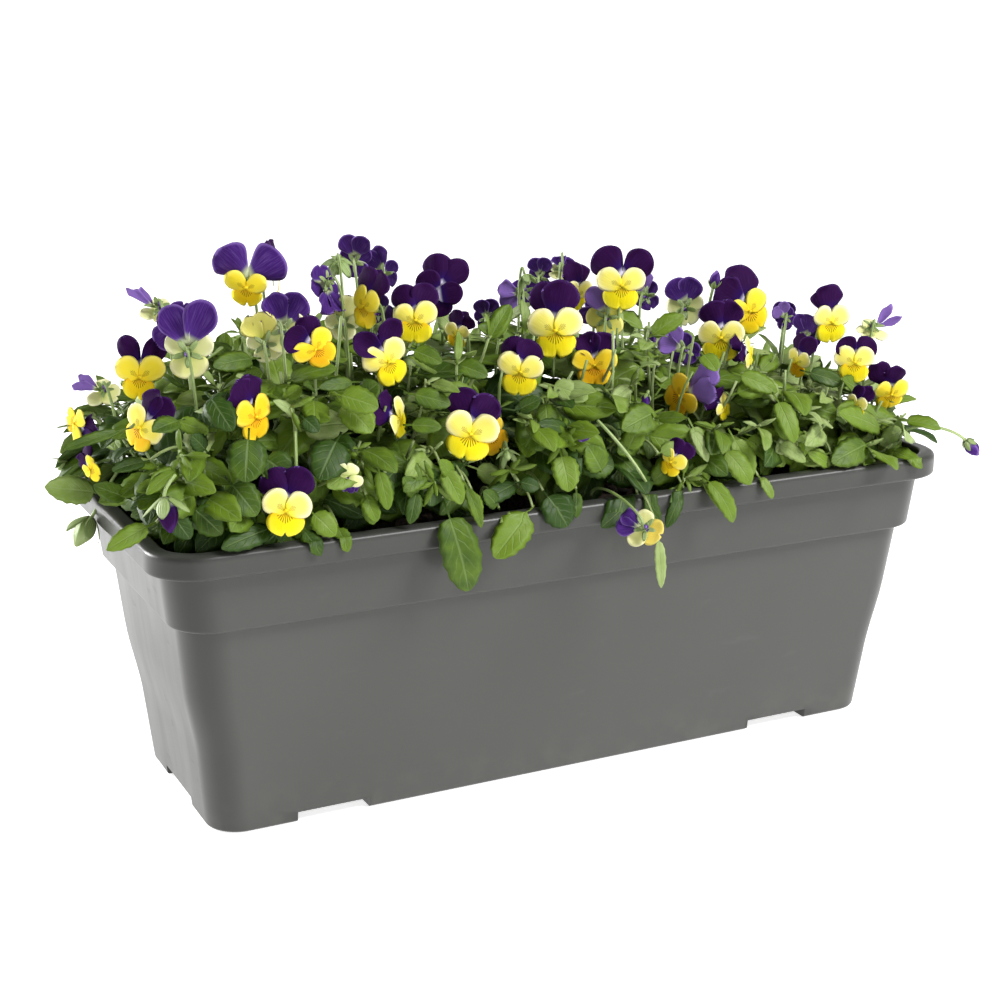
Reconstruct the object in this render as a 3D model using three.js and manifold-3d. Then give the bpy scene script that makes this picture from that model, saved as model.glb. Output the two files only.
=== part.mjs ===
// Planted window box: a moulded plastic trough on low feet, filled with potting soil, in which
// five horned violets grow. Millimetres, +Z up. The origin is the middle of the trough's
// footprint on the ground, and its long front faces -Y.
import * as THREE from "three";
import { mergeVertices } from "three/addons/utils/BufferGeometryUtils.js";
import Module from "manifold-3d";

const wasm = await Module();
wasm.setup();

// ---------------------------------------------------------------- driving dimensions

const LENGTH = 500; // over the rim, along X
const WIDTH = 194.6; // over the rim, along Y
const HEIGHT = 170.5; // ground to rim
const WALL = 2.2;
const RIM_HEIGHT = 13;
const BAND_HEIGHT = 32.7; // the upright collar under the rim
const BAND_STEP = 5; // how far the band stands out from the wall below it
const FOOT_HEIGHT = 6; // the raised channels between the feet
const CHANNEL_X = 148.5; // centre of each cross channel
const CHANNEL_HALF = 21.5;
const END_CHANNEL_HALF = 24;
const CHANNEL_SLOPE = 0.7; // how far a channel's sides lean in, from mouth to crown
const DRAIN_RADIUS = 4;
const DRAIN_PITCH = 36; // three holes in a row across each cross channel
const LEDGE = 2.4; // thickness of the step inside, under the band
const SOIL_DEPTH = 20; // soil surface below the rim
const GAP = 0.4; // clearance between neighbouring pieces
const SOIL_TOP = HEIGHT - SOIL_DEPTH;

const CROWN_RADIUS = 7;
const CROWN_HEIGHT = 8;
const STEM_RADIUS = 1;
const SHOOTS = 5; // short leafy shoots round each crown
const SHOOT_REACH = { x: 52, y: 58 };
const SHOOT_RISE = 46;
const SHOOT_ARCH = 16;
const STALK_LEAD = 14; // length over which a stalk is in line with its flower
const STALK_BENDS = [0, 12, -12, 24, -24, 36, -36]; // sideways detours it may take
const STALK_STEPS = 4; // straight lengths that make up a stalk
const STALK_LEAF = 0.5; // place of a stalk's leaf, as a share of its length
const SHOOT_STEPS = 3;
const SHOOT_LEAVES = [2 / 3, 1];
const LEAF_LENGTH = 27;
const LEAF_WIDTH = 15;
const LEAF_THICKNESS = 0.9;
const PETAL_THICKNESS = 1;
const UPPER_TILT = 8; // degrees by which the two upper petals lean forward
const UPPER_GAP = 0.3; // between the upper petals and those in front of them
const CALYX = { length: 7, top: 0.5, wide: 3, narrow: 1.6 };
const BUD_LENGTH = 15;
const BUD_RADIUS = 4.2;
const GOLDEN_ANGLE = THREE.MathUtils.degToRad(137.5);

// Where each violet's root crown stands on the soil.
const PLANTS = [
  { name: "viola_1", x: -192, y: 6 },
  { name: "viola_2", x: -98, y: -8 },
  { name: "viola_3", x: 0, y: 6 },
  { name: "viola_4", x: 97, y: -6 },
  { name: "viola_5", x: 188, y: 4 },
];

// One row per flower, by plant: eye of the flower [x, y, z], compass direction it faces
// (0 = the front, -90 = the left end), how far it looks up, its roll, and its size.
const FLOWERS = {
  viola_1: [
    [[-231, -10, 246], -15, 5, 5, 1],
    [[-240, -40, 226], -60, 10, 30, 0.95],
    [[-253, 50, 210], -75, 0, 110, 0.8],
    [[-238, 40, 228], 160, -50, 70, 0.75],
    [[-202, 50, 269], 165, -60, 50, 0.85],
    [[-207, -8, 275], 160, -10, 165, 0.85],
    [[-209, -28, 260], 155, -20, 0, 1],
    [[-188, -70, 233], 25, 5, -5, 1],
    [[-183, -99, 190], -22, 15, 3, 1.05],
    [[-171, -12, 290], -30, -10, 5, 1.1],
  ],
  viola_2: [
    [[-130, 50, 285], 70, 0, 10, 0.95],
    [[-156, -30, 268], 145, -20, 0, 0.95],
    [[-151, -62, 264], -10, -10, -40, 0.85],
    [[-124, -4, 288], -150, -20, 170, 0.85],
    [[-81, 55, 289], 150, 0, 0, 0.75],
    [[-57, 66, 278], 125, -10, 30, 0.75],
    [[-108, -24, 277], -75, 5, 0, 0.95],
    [[-84, 6, 267], 110, 0, 60, 0.7],
    [[-104, -48, 250], 0, 5, -22, 1.05],
    [[-146, -92, 202], -30, -20, 178, 0.65],
    [[-104, -62, 222], 40, 10, -45, 0.85],
    [[-71, -82, 214], -25, 12, 8, 1.1],
  ],
  viola_3: [
    [[-74, -16, 265], -25, 10, 0, 0.95],
    [[-42, 26, 271], -30, 5, 20, 1.1],
    [[-38, 6, 250], -60, -5, 10, 0.65],
    [[-48, -60, 206], -5, 10, -40, 0.9],
    [[-24, -48, 237], -25, 10, 6, 1],
    [[12, -22, 253], -30, 10, -4, 1.25],
    [[34, 60, 261], 145, -30, 110, 0.75],
    [[56, 34, 262], 5, -15, 10, 0.85],
    [[36, -26, 231], -30, 25, 0, 0.98],
    [[19, -118, 158], 140, -40, 75, 0.85],
  ],
  viola_4: [
    [[72, 6, 271], -28, 10, 3, 1.1],
    [[119, 52, 254], 120, -10, 35, 0.75],
    [[144, 46, 245], 135, -15, 10, 0.9],
    [[133, -12, 237], -35, 0, -3, 1.1],
    [[151, -18, 227], 40, 5, -55, 0.75],
    [[110, -8, 231], 145, -10, 60, 0.75],
    [[87, -40, 211], -75, 0, 55, 1],
    [[111, -52, 204], 25, 0, -40, 0.65],
    [[50, -92, 187], -60, 10, 20, 0.65],
  ],
  viola_5: [
    [[175, 20, 245], -5, 5, -28, 1.15],
    [[182, -24, 220], -80, 0, 5, 0.75],
    [[204, -28, 244], -10, 5, 0, 1],
    [[234, -30, 237], 165, -60, -60, 0.8],
    [[205, -52, 223], -35, 10, 3, 0.95],
    [[238, -48, 199], -15, -20, -10, 0.9],
  ],
};

// Buds: [x, y, z] of the middle and the direction that the tip points in.
const BUDS = {
  viola_1: [
    [[-243, -94, 194], [0.1, -0.1, -1]],
    [[-258, 24, 154], [-0.6, -0.2, -0.8]],
  ],
  viola_3: [[[1, -75, 205], [-0.9, -0.3, -0.3]]],
  viola_5: [[[272, -88, 170], [0.7, -0.1, -0.7]]],
};

// Single large leaves that lean out over the rim: base, tip and width.
const LEANING_LEAVES = {
  viola_1: [
    [[-240, 60, 180], [-268, 60, 172], 19],
    [[-214, -40, 176], [-236, -104, 176], 17],
  ],
  viola_2: [[[-88, -60, 176], [-86, -106, 160], 22]],
  viola_3: [
    [[-48, -60, 176], [-52, -108, 166], 20],
    [[20, -60, 180], [33, -112, 150], 12],
  ],
  viola_5: [[[205, 0, 180], [246, -60, 182], 20]],
};

// ---------------------------------------------------------------- solids

// A closed three.js geometry as a solid that can be joined and cut.
function toSolid(geometry) {
  const bare = new THREE.BufferGeometry();
  bare.setAttribute("position", geometry.getAttribute("position"));
  bare.setIndex(geometry.getIndex());
  const merged = mergeVertices(bare, 1e-3);
  return new wasm.Manifold(
    new wasm.Mesh({
      numProp: 3,
      vertProperties: merged.attributes.position.array,
      triVerts: new Uint32Array(merged.index.array),
    }),
  );
}

// A solid as a geometry for a mesh.
function toGeometry(solid) {
  const mesh = solid.getMesh();
  const geometry = new THREE.BufferGeometry();
  geometry.setAttribute("position", new THREE.BufferAttribute(mesh.vertProperties, 3));
  geometry.setIndex(new THREE.BufferAttribute(mesh.triVerts, 1));
  geometry.computeVertexNormals();
  return geometry;
}

// Whether two solids share any space.
function touches(a, b) {
  const boxA = a.boundingBox();
  const boxB = b.boundingBox();
  const apart = [0, 1, 2].some((i) => boxA.max[i] < boxB.min[i] || boxB.max[i] < boxA.min[i]);
  return !apart && a.intersect(b).volume() > 0;
}

// ---------------------------------------------------------------- trough

const CORNER_SEGMENTS = 4;

// Points round a rectangle with rounded corners, counter-clockwise seen from above.
function roundedRectangle(halfX, halfY, radius) {
  const shape = new THREE.Shape();
  shape.absarc(halfX - radius, halfY - radius, radius, 0, Math.PI / 2, false);
  shape.absarc(radius - halfX, halfY - radius, radius, Math.PI / 2, Math.PI, false);
  shape.absarc(radius - halfX, radius - halfY, radius, Math.PI, 1.5 * Math.PI, false);
  shape.absarc(halfX - radius, radius - halfY, radius, 1.5 * Math.PI, 2 * Math.PI, false);
  return shape.getPoints(CORNER_SEGMENTS).slice(0, -1);
}

// A closed skin through rings of equal point counts. The first ring is capped facing down and
// the last one facing up.
function loft(rings) {
  const outlines = rings.map((r) => roundedRectangle(r.halfX, r.halfY, r.radius));
  const count = outlines[0].length;
  const positions = outlines.flatMap((points, i) => points.flatMap((p) => [p.x, p.y, rings[i].z]));
  const index = [];
  for (let ring = 0; ring + 1 < rings.length; ring++) {
    for (let i = 0; i < count; i++) {
      const a = ring * count + i;
      const b = ring * count + ((i + 1) % count);
      index.push(a, b, b + count, a, b + count, a + count);
    }
  }
  const last = (rings.length - 1) * count;
  for (let i = 1; i + 1 < count; i++) {
    index.push(0, i + 1, i);
    index.push(last, last + i, last + i + 1);
  }
  const geometry = new THREE.BufferGeometry();
  geometry.setAttribute("position", new THREE.Float32BufferAttribute(positions, 3));
  geometry.setIndex(index);
  return geometry;
}

const RIM_BOTTOM = HEIGHT - RIM_HEIGHT;
const BAND_BOTTOM = RIM_BOTTOM - BAND_HEIGHT;
const RIM_STEP = { x: 8.5, y: 7.6 }; // how far the rim stands out from the band
const BAND_DRAFT = { x: 3.7, y: 2.1 };

// Half sizes of the wall's outside. The front and back lean straight out. Each end also steps
// out in a soft S at mid height.
const WALL_TOP = {
  x: LENGTH / 2 - RIM_STEP.x - BAND_DRAFT.x - BAND_STEP,
  y: WIDTH / 2 - RIM_STEP.y - BAND_DRAFT.y - BAND_STEP,
};
const END_LEAN = 0.1; // slope of an end, away from its S
const FRONT_LEAN = 0.119;
const WALL_RADIUS = 23; // of its corners, under the band
const RADIUS_LEAN = 0.03;
const BAND_RADIUS = 24.5;
const RIM_RADIUS = 28;
const END_STEP = 3.3;
const STEP_LOW = 42;
const STEP_HIGH = 86;

function wallRing(z, inset) {
  const rise = THREE.MathUtils.smoothstep(z, STEP_LOW, STEP_HIGH);
  const below = BAND_BOTTOM - z;
  return {
    z,
    halfX: WALL_TOP.x - END_LEAN * below - END_STEP * (1 - rise) - inset,
    halfY: WALL_TOP.y - FRONT_LEAN * below - inset,
    radius: WALL_RADIUS - RADIUS_LEAN * below - inset,
  };
}

const WALL_LEVELS = [STEP_LOW, 53, 64, 75, STEP_HIGH];

// The part of the wall between two heights, as rings from the lower to the higher.
function wallRings(low, high, inset) {
  const levels = [low, ...WALL_LEVELS.filter((z) => z > low && z < high), high];
  return levels.map((z) => wallRing(z, inset));
}

const bandRing = (z, inset) => ({
  z,
  halfX: LENGTH / 2 - RIM_STEP.x - (BAND_DRAFT.x * (RIM_BOTTOM - z)) / BAND_HEIGHT - inset,
  halfY: WIDTH / 2 - RIM_STEP.y - (BAND_DRAFT.y * (RIM_BOTTOM - z)) / BAND_HEIGHT - inset,
  radius: BAND_RADIUS - inset,
});

const rimRing = (z, inset) => ({
  z,
  halfX: LENGTH / 2 - inset,
  halfY: WIDTH / 2 - inset,
  radius: RIM_RADIUS - inset,
});

function outsideRings() {
  return [
    ...wallRings(0, BAND_BOTTOM, 0),
    bandRing(BAND_BOTTOM + 0.01, 0),
    bandRing(RIM_BOTTOM - 0.01, 0),
    rimRing(RIM_BOTTOM, 1),
    rimRing(RIM_BOTTOM + 1.5, 0),
    rimRing(HEIGHT - 4, 0),
    rimRing(HEIGHT - 1.2, 1.2),
    rimRing(HEIGHT, 4),
  ];
}

function insideRings(floor) {
  return [
    rimRing(HEIGHT, 8.4),
    rimRing(HEIGHT - 1.5, 9.7),
    bandRing(RIM_BOTTOM, WALL),
    bandRing(BAND_BOTTOM + LEDGE, WALL),
    ...wallRings(floor, BAND_BOTTOM + LEDGE - 0.5, WALL).reverse(),
  ];
}

// A straight channel under the floor with sloping sides: its cross-section pushed along Y, or
// along X when it is an end channel. `grow` thickens it into the floor that covers it.
function channel(half, from, to, alongX, grow) {
  const top = FOOT_HEIGHT + grow;
  const foot = half + grow + CHANNEL_SLOPE;
  const crown = half + grow - CHANNEL_SLOPE;
  const section = new THREE.Shape();
  section.moveTo(-foot, -1);
  section.lineTo(foot, -1);
  section.lineTo(crown, top);
  section.lineTo(-crown, top);
  const prism = new THREE.ExtrudeGeometry(section, { depth: to - from, bevelEnabled: false });
  prism.rotateX(Math.PI / 2);
  prism.translate(0, to, 0);
  if (alongX) prism.rotateZ(-Math.PI / 2);
  return prism;
}

// Everything that is raised between the feet: a cross channel near each end, and a channel from
// each of them out through the end wall.
function channels(grow) {
  const solids = [];
  for (const side of [-1, 1]) {
    const cross = channel(CHANNEL_HALF, -WIDTH, WIDTH, false, grow);
    cross.translate(side * CHANNEL_X, 0, 0);
    const inner = side * CHANNEL_X;
    const outer = (side * LENGTH) / 2;
    const end = channel(
      END_CHANNEL_HALF,
      Math.min(inner, outer),
      Math.max(inner, outer),
      true,
      grow,
    );
    solids.push(toSolid(cross), toSolid(end));
  }
  return wasm.Manifold.union(solids);
}

function drainHoles() {
  const holes = [];
  for (const x of [-CHANNEL_X, CHANNEL_X]) {
    for (const y of [-DRAIN_PITCH, 0, DRAIN_PITCH]) {
      const length = 4 * FOOT_HEIGHT;
      const hole = new THREE.CylinderGeometry(DRAIN_RADIUS, DRAIN_RADIUS, length, 10);
      hole.rotateX(Math.PI / 2);
      hole.translate(x, y, FOOT_HEIGHT);
      holes.push(toSolid(hole));
    }
  }
  return wasm.Manifold.union(holes);
}

function trough() {
  const shell = toSolid(loft([...outsideRings(), ...insideRings(WALL)]));
  const body = toSolid(loft(wallRings(0, STEP_LOW, WALL / 2)));
  const raisedFloor = channels(WALL).intersect(body);
  return shell.add(raisedFloor).subtract(channels(0)).subtract(drainHoles());
}

const MOUND = { rise: 4, x: 22, y: 18 }; // how the soil's surface is rounded off at its edge

function pottingSoil() {
  const inset = WALL + GAP;
  const edge = bandRing(SOIL_TOP - MOUND.rise, inset);
  const top = { ...edge, z: SOIL_TOP, halfX: edge.halfX - MOUND.x, halfY: edge.halfY - MOUND.y };
  const rings = [
    ...wallRings(WALL + GAP, BAND_BOTTOM + LEDGE - 0.5, inset),
    bandRing(BAND_BOTTOM + LEDGE + GAP, inset),
    edge,
    top,
  ];
  return toSolid(loft(rings)).subtract(channels(inset));
}

// ---------------------------------------------------------------- flowers and buds

function plate(shape, thickness, segments) {
  return new THREE.ExtrudeGeometry(shape, {
    depth: thickness,
    bevelEnabled: false,
    curveSegments: segments,
  });
}

// The two upper petals as one two-lobed plate.
function upperPetals() {
  const shape = new THREE.Shape();
  shape.moveTo(0, -2);
  shape.bezierCurveTo(9, -2, 19, 3, 16.5, 12);
  shape.bezierCurveTo(14, 20, 4, 21, 0, 14);
  shape.bezierCurveTo(-4, 21, -14, 20, -16.5, 12);
  shape.bezierCurveTo(-19, 3, -9, -2, 0, -2);
  return shape;
}

// The two side petals and the notched lower petal as one three-lobed plate.
function lowerPetals() {
  const shape = new THREE.Shape();
  shape.moveTo(0, 3);
  shape.bezierCurveTo(-5, 11, -15, 9, -14.5, 2);
  shape.bezierCurveTo(-14, -4, -9, -6, -5, -5);
  shape.bezierCurveTo(-12, -13, -6, -18, 0, -14);
  shape.bezierCurveTo(6, -18, 12, -13, 5, -5);
  shape.bezierCurveTo(9, -6, 14, -4, 14.5, 2);
  shape.bezierCurveTo(15, 9, 5, 11, 0, 3);
  return shape;
}

// A flower in its own frame: it faces +Z, its upper petals point to +Y and its eye is at 0.
function flowerHead() {
  const lower = plate(lowerPetals(), PETAL_THICKNESS, 2);
  const upper = plate(upperPetals(), PETAL_THICKNESS, 2);
  upper.rotateX(THREE.MathUtils.degToRad(UPPER_TILT));
  upper.translate(0, 0, -PETAL_THICKNESS - UPPER_GAP);
  const calyx = new THREE.CylinderGeometry(CALYX.wide, CALYX.narrow, CALYX.length, 5);
  calyx.rotateX(Math.PI / 2);
  calyx.translate(0, 0, CALYX.top - CALYX.length / 2);
  return wasm.Manifold.union([lower, upper, calyx].map(toSolid));
}

// A bud in its own frame: its tip points to +Z and its middle is at 0.
function budHead() {
  const bud = new THREE.SphereGeometry(1, 6, 6);
  bud.scale(BUD_RADIUS, BUD_RADIUS, BUD_LENGTH / 2);
  return toSolid(bud);
}

// Where a flower stands: turned about Z to the side it faces, tipped up and rolled.
function flowerPlace([eye, facing, looksUp, roll, size]) {
  const yaw = new THREE.Matrix4().makeRotationZ(THREE.MathUtils.degToRad(facing));
  const tip = new THREE.Matrix4().makeRotationX(THREE.MathUtils.degToRad(90 - looksUp));
  const spin = new THREE.Matrix4().makeRotationZ(THREE.MathUtils.degToRad(-roll));
  const place = new THREE.Matrix4().makeTranslation(...eye);
  return place.multiply(yaw).multiply(tip).multiply(spin).scale(new THREE.Vector3(size, size, size));
}

function budPlace([middle, tip]) {
  const up = new THREE.Vector3(0, 0, 1);
  const turn = new THREE.Quaternion().setFromUnitVectors(up, new THREE.Vector3(...tip).normalize());
  return new THREE.Matrix4().compose(
    new THREE.Vector3(...middle),
    turn,
    new THREE.Vector3(1, 1, 1),
  );
}

// ---------------------------------------------------------------- stems and leaves

function tube(curve, radius, steps) {
  const section = new THREE.Shape();
  section.absellipse(0, 0, radius, radius, 0, 2 * Math.PI, false, 0);
  return toSolid(
    new THREE.ExtrudeGeometry(section, {
      steps,
      extrudePath: curve,
      curveSegments: 2,
      bevelEnabled: false,
    }),
  );
}

// A leaf as a thin ovate plate from its base to its tip, lying as flat as its direction allows.
function leaf(base, tip, width) {
  const along = tip.clone().sub(base);
  const length = along.length();
  const half = width / 2;
  const shape = new THREE.Shape();
  shape.moveTo(-2, -1);
  shape.lineTo(0.35 * length, -0.8 * half);
  shape.lineTo(0.75 * length, -half);
  shape.lineTo(length, 0);
  shape.lineTo(0.75 * length, half);
  shape.lineTo(0.35 * length, 0.8 * half);
  shape.lineTo(-2, 1);
  const blade = plate(shape, LEAF_THICKNESS, 1);
  const x = along.normalize();
  const y = new THREE.Vector3(0, 0, 1).cross(x).normalize();
  const z = x.clone().cross(y);
  blade.applyMatrix4(new THREE.Matrix4().makeBasis(x, y, z).setPosition(base));
  return toSolid(blade);
}

// Builds one violet: every stalk from the crown to a flower or bud, the leaves on it, a ring of
// short leafy shoots, and the large leaves over the rim. `obstacles` are the solids that it has
// to stay clear of: a stalk bends to another side, or a leaf is left out, where it would cut one.
function violet(plant, heads, obstacles) {
  const isClear = (solid) => !obstacles.some((other) => touches(solid, other));
  const crown = new THREE.Vector3(plant.x, plant.y, SOIL_TOP + GAP);
  const disc = new THREE.CylinderGeometry(CROWN_RADIUS, CROWN_RADIUS + 2, CROWN_HEIGHT, 8);
  disc.rotateX(Math.PI / 2);
  disc.translate(crown.x, crown.y, crown.z + CROWN_HEIGHT / 2);
  const parts = [toSolid(disc)];

  const addLeaf = (base, tip, width) => {
    const solid = leaf(base, tip, width);
    if (isClear(solid)) parts.push(solid);
  };

  // Leaves at the given places of a stem, which are ends of its straight lengths. Each leaf is
  // turned by the golden angle from the one before.
  const addLeaves = (curve, places, turn) => {
    places.forEach((t, i) => {
      const base = curve.getPointAt(t);
      const angle = (turn + i) * GOLDEN_ANGLE;
      const outward = new THREE.Vector3(Math.cos(angle), Math.sin(angle), 0.1);
      addLeaf(base, base.clone().addScaledVector(outward, LEAF_LENGTH), LEAF_WIDTH);
    });
  };

  // The place on the crown where the stem that leads to a point comes out.
  const rootOf = (point) => {
    const towards = new THREE.Vector3(point.x - crown.x, point.y - crown.y, 0).normalize();
    const place = crown.clone().addScaledVector(towards, CROWN_RADIUS - 2);
    return place.setZ(crown.z + CROWN_HEIGHT / 2);
  };

  heads.forEach(({ foot, direction }, i) => {
    const start = rootOf(foot);
    const sideways = new THREE.Vector3(-direction.y, direction.x, 0).normalize();
    for (const bend of STALK_BENDS) {
      const high = foot.clone().addScaledVector(direction, STALK_LEAD);
      high.addScaledVector(sideways, bend).add(new THREE.Vector3(0, 0, 2));
      const low = start.clone().lerp(foot, 0.3);
      low.addScaledVector(sideways, bend);
      low.z = start.z + 0.6 * Math.max(foot.z - start.z, 40);
      const curve = new THREE.CubicBezierCurve3(start, low, high, foot);
      const stalk = tube(curve, STEM_RADIUS, STALK_STEPS);
      if (!isClear(stalk)) continue;
      parts.push(stalk);
      addLeaves(curve, [STALK_LEAF], i);
      break;
    }
  });

  for (let i = 0; i < SHOOTS; i++) {
    const angle = i * GOLDEN_ANGLE;
    const end = crown.clone();
    end.x += SHOOT_REACH.x * Math.cos(angle);
    end.y += SHOOT_REACH.y * Math.sin(angle);
    end.z += SHOOT_RISE;
    const start = rootOf(end);
    const knee = start.clone().lerp(end, 0.5).add(new THREE.Vector3(0, 0, SHOOT_ARCH));
    const curve = new THREE.QuadraticBezierCurve3(start, knee, end);
    const shoot = tube(curve, STEM_RADIUS, SHOOT_STEPS);
    if (!isClear(shoot)) continue;
    parts.push(shoot);
    addLeaves(curve, SHOOT_LEAVES, i);
  }

  for (const [base, tip, width] of LEANING_LEAVES[plant.name] ?? []) {
    const from = new THREE.Vector3(...base);
    const middle = crown.clone().lerp(from, 0.5);
    middle.z = from.z + 12;
    const curve = new THREE.QuadraticBezierCurve3(rootOf(from), middle, from);
    parts.push(tube(curve, STEM_RADIUS, STALK_STEPS));
    addLeaf(from, new THREE.Vector3(...tip), width);
  }

  return wasm.Manifold.union(parts);
}

// ---------------------------------------------------------------- assembly

const windowBox = new THREE.Group();
windowBox.name = "planted_window_box";

const plastic = { color: 0x6a6c69, roughness: 0.35, metalness: 0 };
const compost = { color: 0x241a12, roughness: 1, metalness: 0 };
const foliage = { color: 0x4d7a34, roughness: 0.6, metalness: 0 };
const petals = { color: 0xf2d62a, roughness: 0.6, metalness: 0 };
const budPetals = { color: 0x3c2a7a, roughness: 0.6, metalness: 0 };

function addMesh(name, solid, finish) {
  const mesh = new THREE.Mesh(toGeometry(solid), new THREE.MeshStandardMaterial(finish));
  mesh.name = name;
  windowBox.add(mesh);
}

// Where the stalk of a head joins it, and the direction it arrives from.
function stalkEnd(place, height) {
  return {
    foot: new THREE.Vector3(0, 0, height).applyMatrix4(place),
    direction: new THREE.Vector3(0, 0, -1).transformDirection(place),
  };
}

const box = trough();
const soil = pottingSoil();
addMesh("planter_box", box, plastic);
addMesh("potting_soil", soil, compost);

const head = flowerHead();
const bud = budHead();
const placed = [box, soil];
const headsOf = {};
let flowerCount = 0;
let budCount = 0;

for (const plant of PLANTS) {
  headsOf[plant.name] = [];
  for (const row of FLOWERS[plant.name] ?? []) {
    const place = flowerPlace(row);
    const solid = head.transform(place.elements);
    flowerCount += 1;
    addMesh("flower_" + String(flowerCount).padStart(2, "0"), solid, petals);
    headsOf[plant.name].push(stalkEnd(place, CALYX.top - CALYX.length - GAP));
    placed.push(solid);
  }
  for (const row of BUDS[plant.name] ?? []) {
    const place = budPlace(row);
    const solid = bud.transform(place.elements);
    budCount += 1;
    addMesh("bud_" + budCount, solid, budPetals);
    headsOf[plant.name].push(stalkEnd(place, -BUD_LENGTH / 2 - GAP));
    placed.push(solid);
  }
}

for (const plant of PLANTS) {
  const solid = violet(plant, headsOf[plant.name], placed);
  addMesh(plant.name, solid, foliage);
  placed.push(solid);
}

export default windowBox;
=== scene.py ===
# %% [markdown]
# # A planted window box
# A moulded grey plastic trough stands on low feet. It is full of potting soil, and five horned
# violets grow in it, with dark purple upper petals and lemon lower ones. The exact trough, the
# soil, the plants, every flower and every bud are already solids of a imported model. This lesson
# loads them as a fixed frame and puts finer surfaces, worked out with numpy, where they stand.

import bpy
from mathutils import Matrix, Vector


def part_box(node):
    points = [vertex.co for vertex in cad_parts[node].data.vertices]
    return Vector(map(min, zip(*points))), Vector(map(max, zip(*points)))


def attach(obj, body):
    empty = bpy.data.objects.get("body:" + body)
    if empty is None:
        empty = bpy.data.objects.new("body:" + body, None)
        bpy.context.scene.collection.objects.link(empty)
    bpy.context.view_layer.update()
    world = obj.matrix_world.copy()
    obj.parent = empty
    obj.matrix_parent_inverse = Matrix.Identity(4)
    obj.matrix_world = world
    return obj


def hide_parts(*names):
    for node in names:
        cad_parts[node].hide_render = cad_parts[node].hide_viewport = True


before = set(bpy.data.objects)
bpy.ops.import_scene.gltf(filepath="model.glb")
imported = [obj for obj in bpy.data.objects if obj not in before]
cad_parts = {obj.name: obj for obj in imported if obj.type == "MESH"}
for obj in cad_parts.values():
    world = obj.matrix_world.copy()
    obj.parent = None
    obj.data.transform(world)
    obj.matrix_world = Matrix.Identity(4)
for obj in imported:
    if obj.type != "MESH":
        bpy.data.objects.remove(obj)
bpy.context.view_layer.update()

# %% Libraries and units
import math

import bpy
import numpy as np
from mathutils import Matrix

MM = 0.001  # the shapes below are in millimetres, and build_piece turns them into metres
random = np.random.default_rng(20)
scene = bpy.context.scene
scene.view_settings.view_transform = "Standard"

# %% [markdown]
# ## Camera
# The box is looked at from its left front corner and a little from above, through a moderately
# long lens. Two points are enough to aim it: where it stands and what it looks at.

# %% Camera
CAMERA_PLACE = np.array([-483.96, -948.63, 458.15])
CAMERA_TARGET = np.array([-1.20, 22.20, 141.16])
CAMERA_ROLL = 0.322  # degrees
CAMERA_LENS = 66.136  # mm, on a 36 mm sensor


def unit(vectors):
    """The same directions at length 1."""
    return vectors / np.maximum(np.linalg.norm(vectors, axis=-1, keepdims=True), 1e-9)


def aim(thing, place, target, roll=0.0):
    """Stands a camera or lamp at `place`, its -Z axis towards `target`, turned by `roll`."""
    forward = unit(np.subtract(target, place))
    right = unit(np.cross(forward, [0.0, 0.0, 1.0]))
    up = np.cross(right, forward)
    c, s = math.cos(math.radians(roll)), math.sin(math.radians(roll))
    columns = [right * c + up * s, up * c - right * s, -forward, np.multiply(place, MM)]
    matrix = np.eye(4)
    matrix[:3, :] = np.stack(columns, axis=1)
    thing.matrix_world = Matrix(matrix.tolist())


lens = bpy.data.cameras.new("camera")
lens.lens, lens.sensor_width = CAMERA_LENS, 36
lens.clip_start, lens.clip_end = 0.01, 50
camera = bpy.data.objects.new("camera", lens)
scene.collection.objects.link(camera)
aim(camera, CAMERA_PLACE, CAMERA_TARGET, CAMERA_ROLL)
scene.camera = camera
print("the camera is", round(np.linalg.norm(CAMERA_TARGET - CAMERA_PLACE)), "mm from its target")

# %% [markdown]
# ## Patches and pieces
# Everything here is a sheet or a skin on a grid of points. A patch is a set of points, its faces
# by material, a UV for each point and a tone, a number that lets one leaf or petal differ from
# the next. A piece is one mesh object made of patches, and foreach_set fills it as whole arrays.

# %% Faces of a grid
def grid_quads(rows, columns, wrap=False):
    """Four neighbouring points make a face, for points numbered row by row. A wrapped grid also
    joins the last column to the first. With columns running right and rows running up, the
    faces look at the viewer."""
    row = np.arange(rows - 1)[:, None] * columns
    left = np.arange(columns if wrap else columns - 1)[None, :]
    right = (left + 1) % columns
    corners = [row + left, row + right, row + right + columns, row + left + columns]
    return np.stack(corners, axis=-1).reshape(-1, 4)


def repeated(faces, step, count):
    """The same faces for `count` copies whose points are numbered `step` apart."""
    moved = faces[None] + step * np.arange(count)[:, None, None]
    return np.where(faces[None] < 0, -1, moved).reshape(-1, faces.shape[1])


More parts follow.
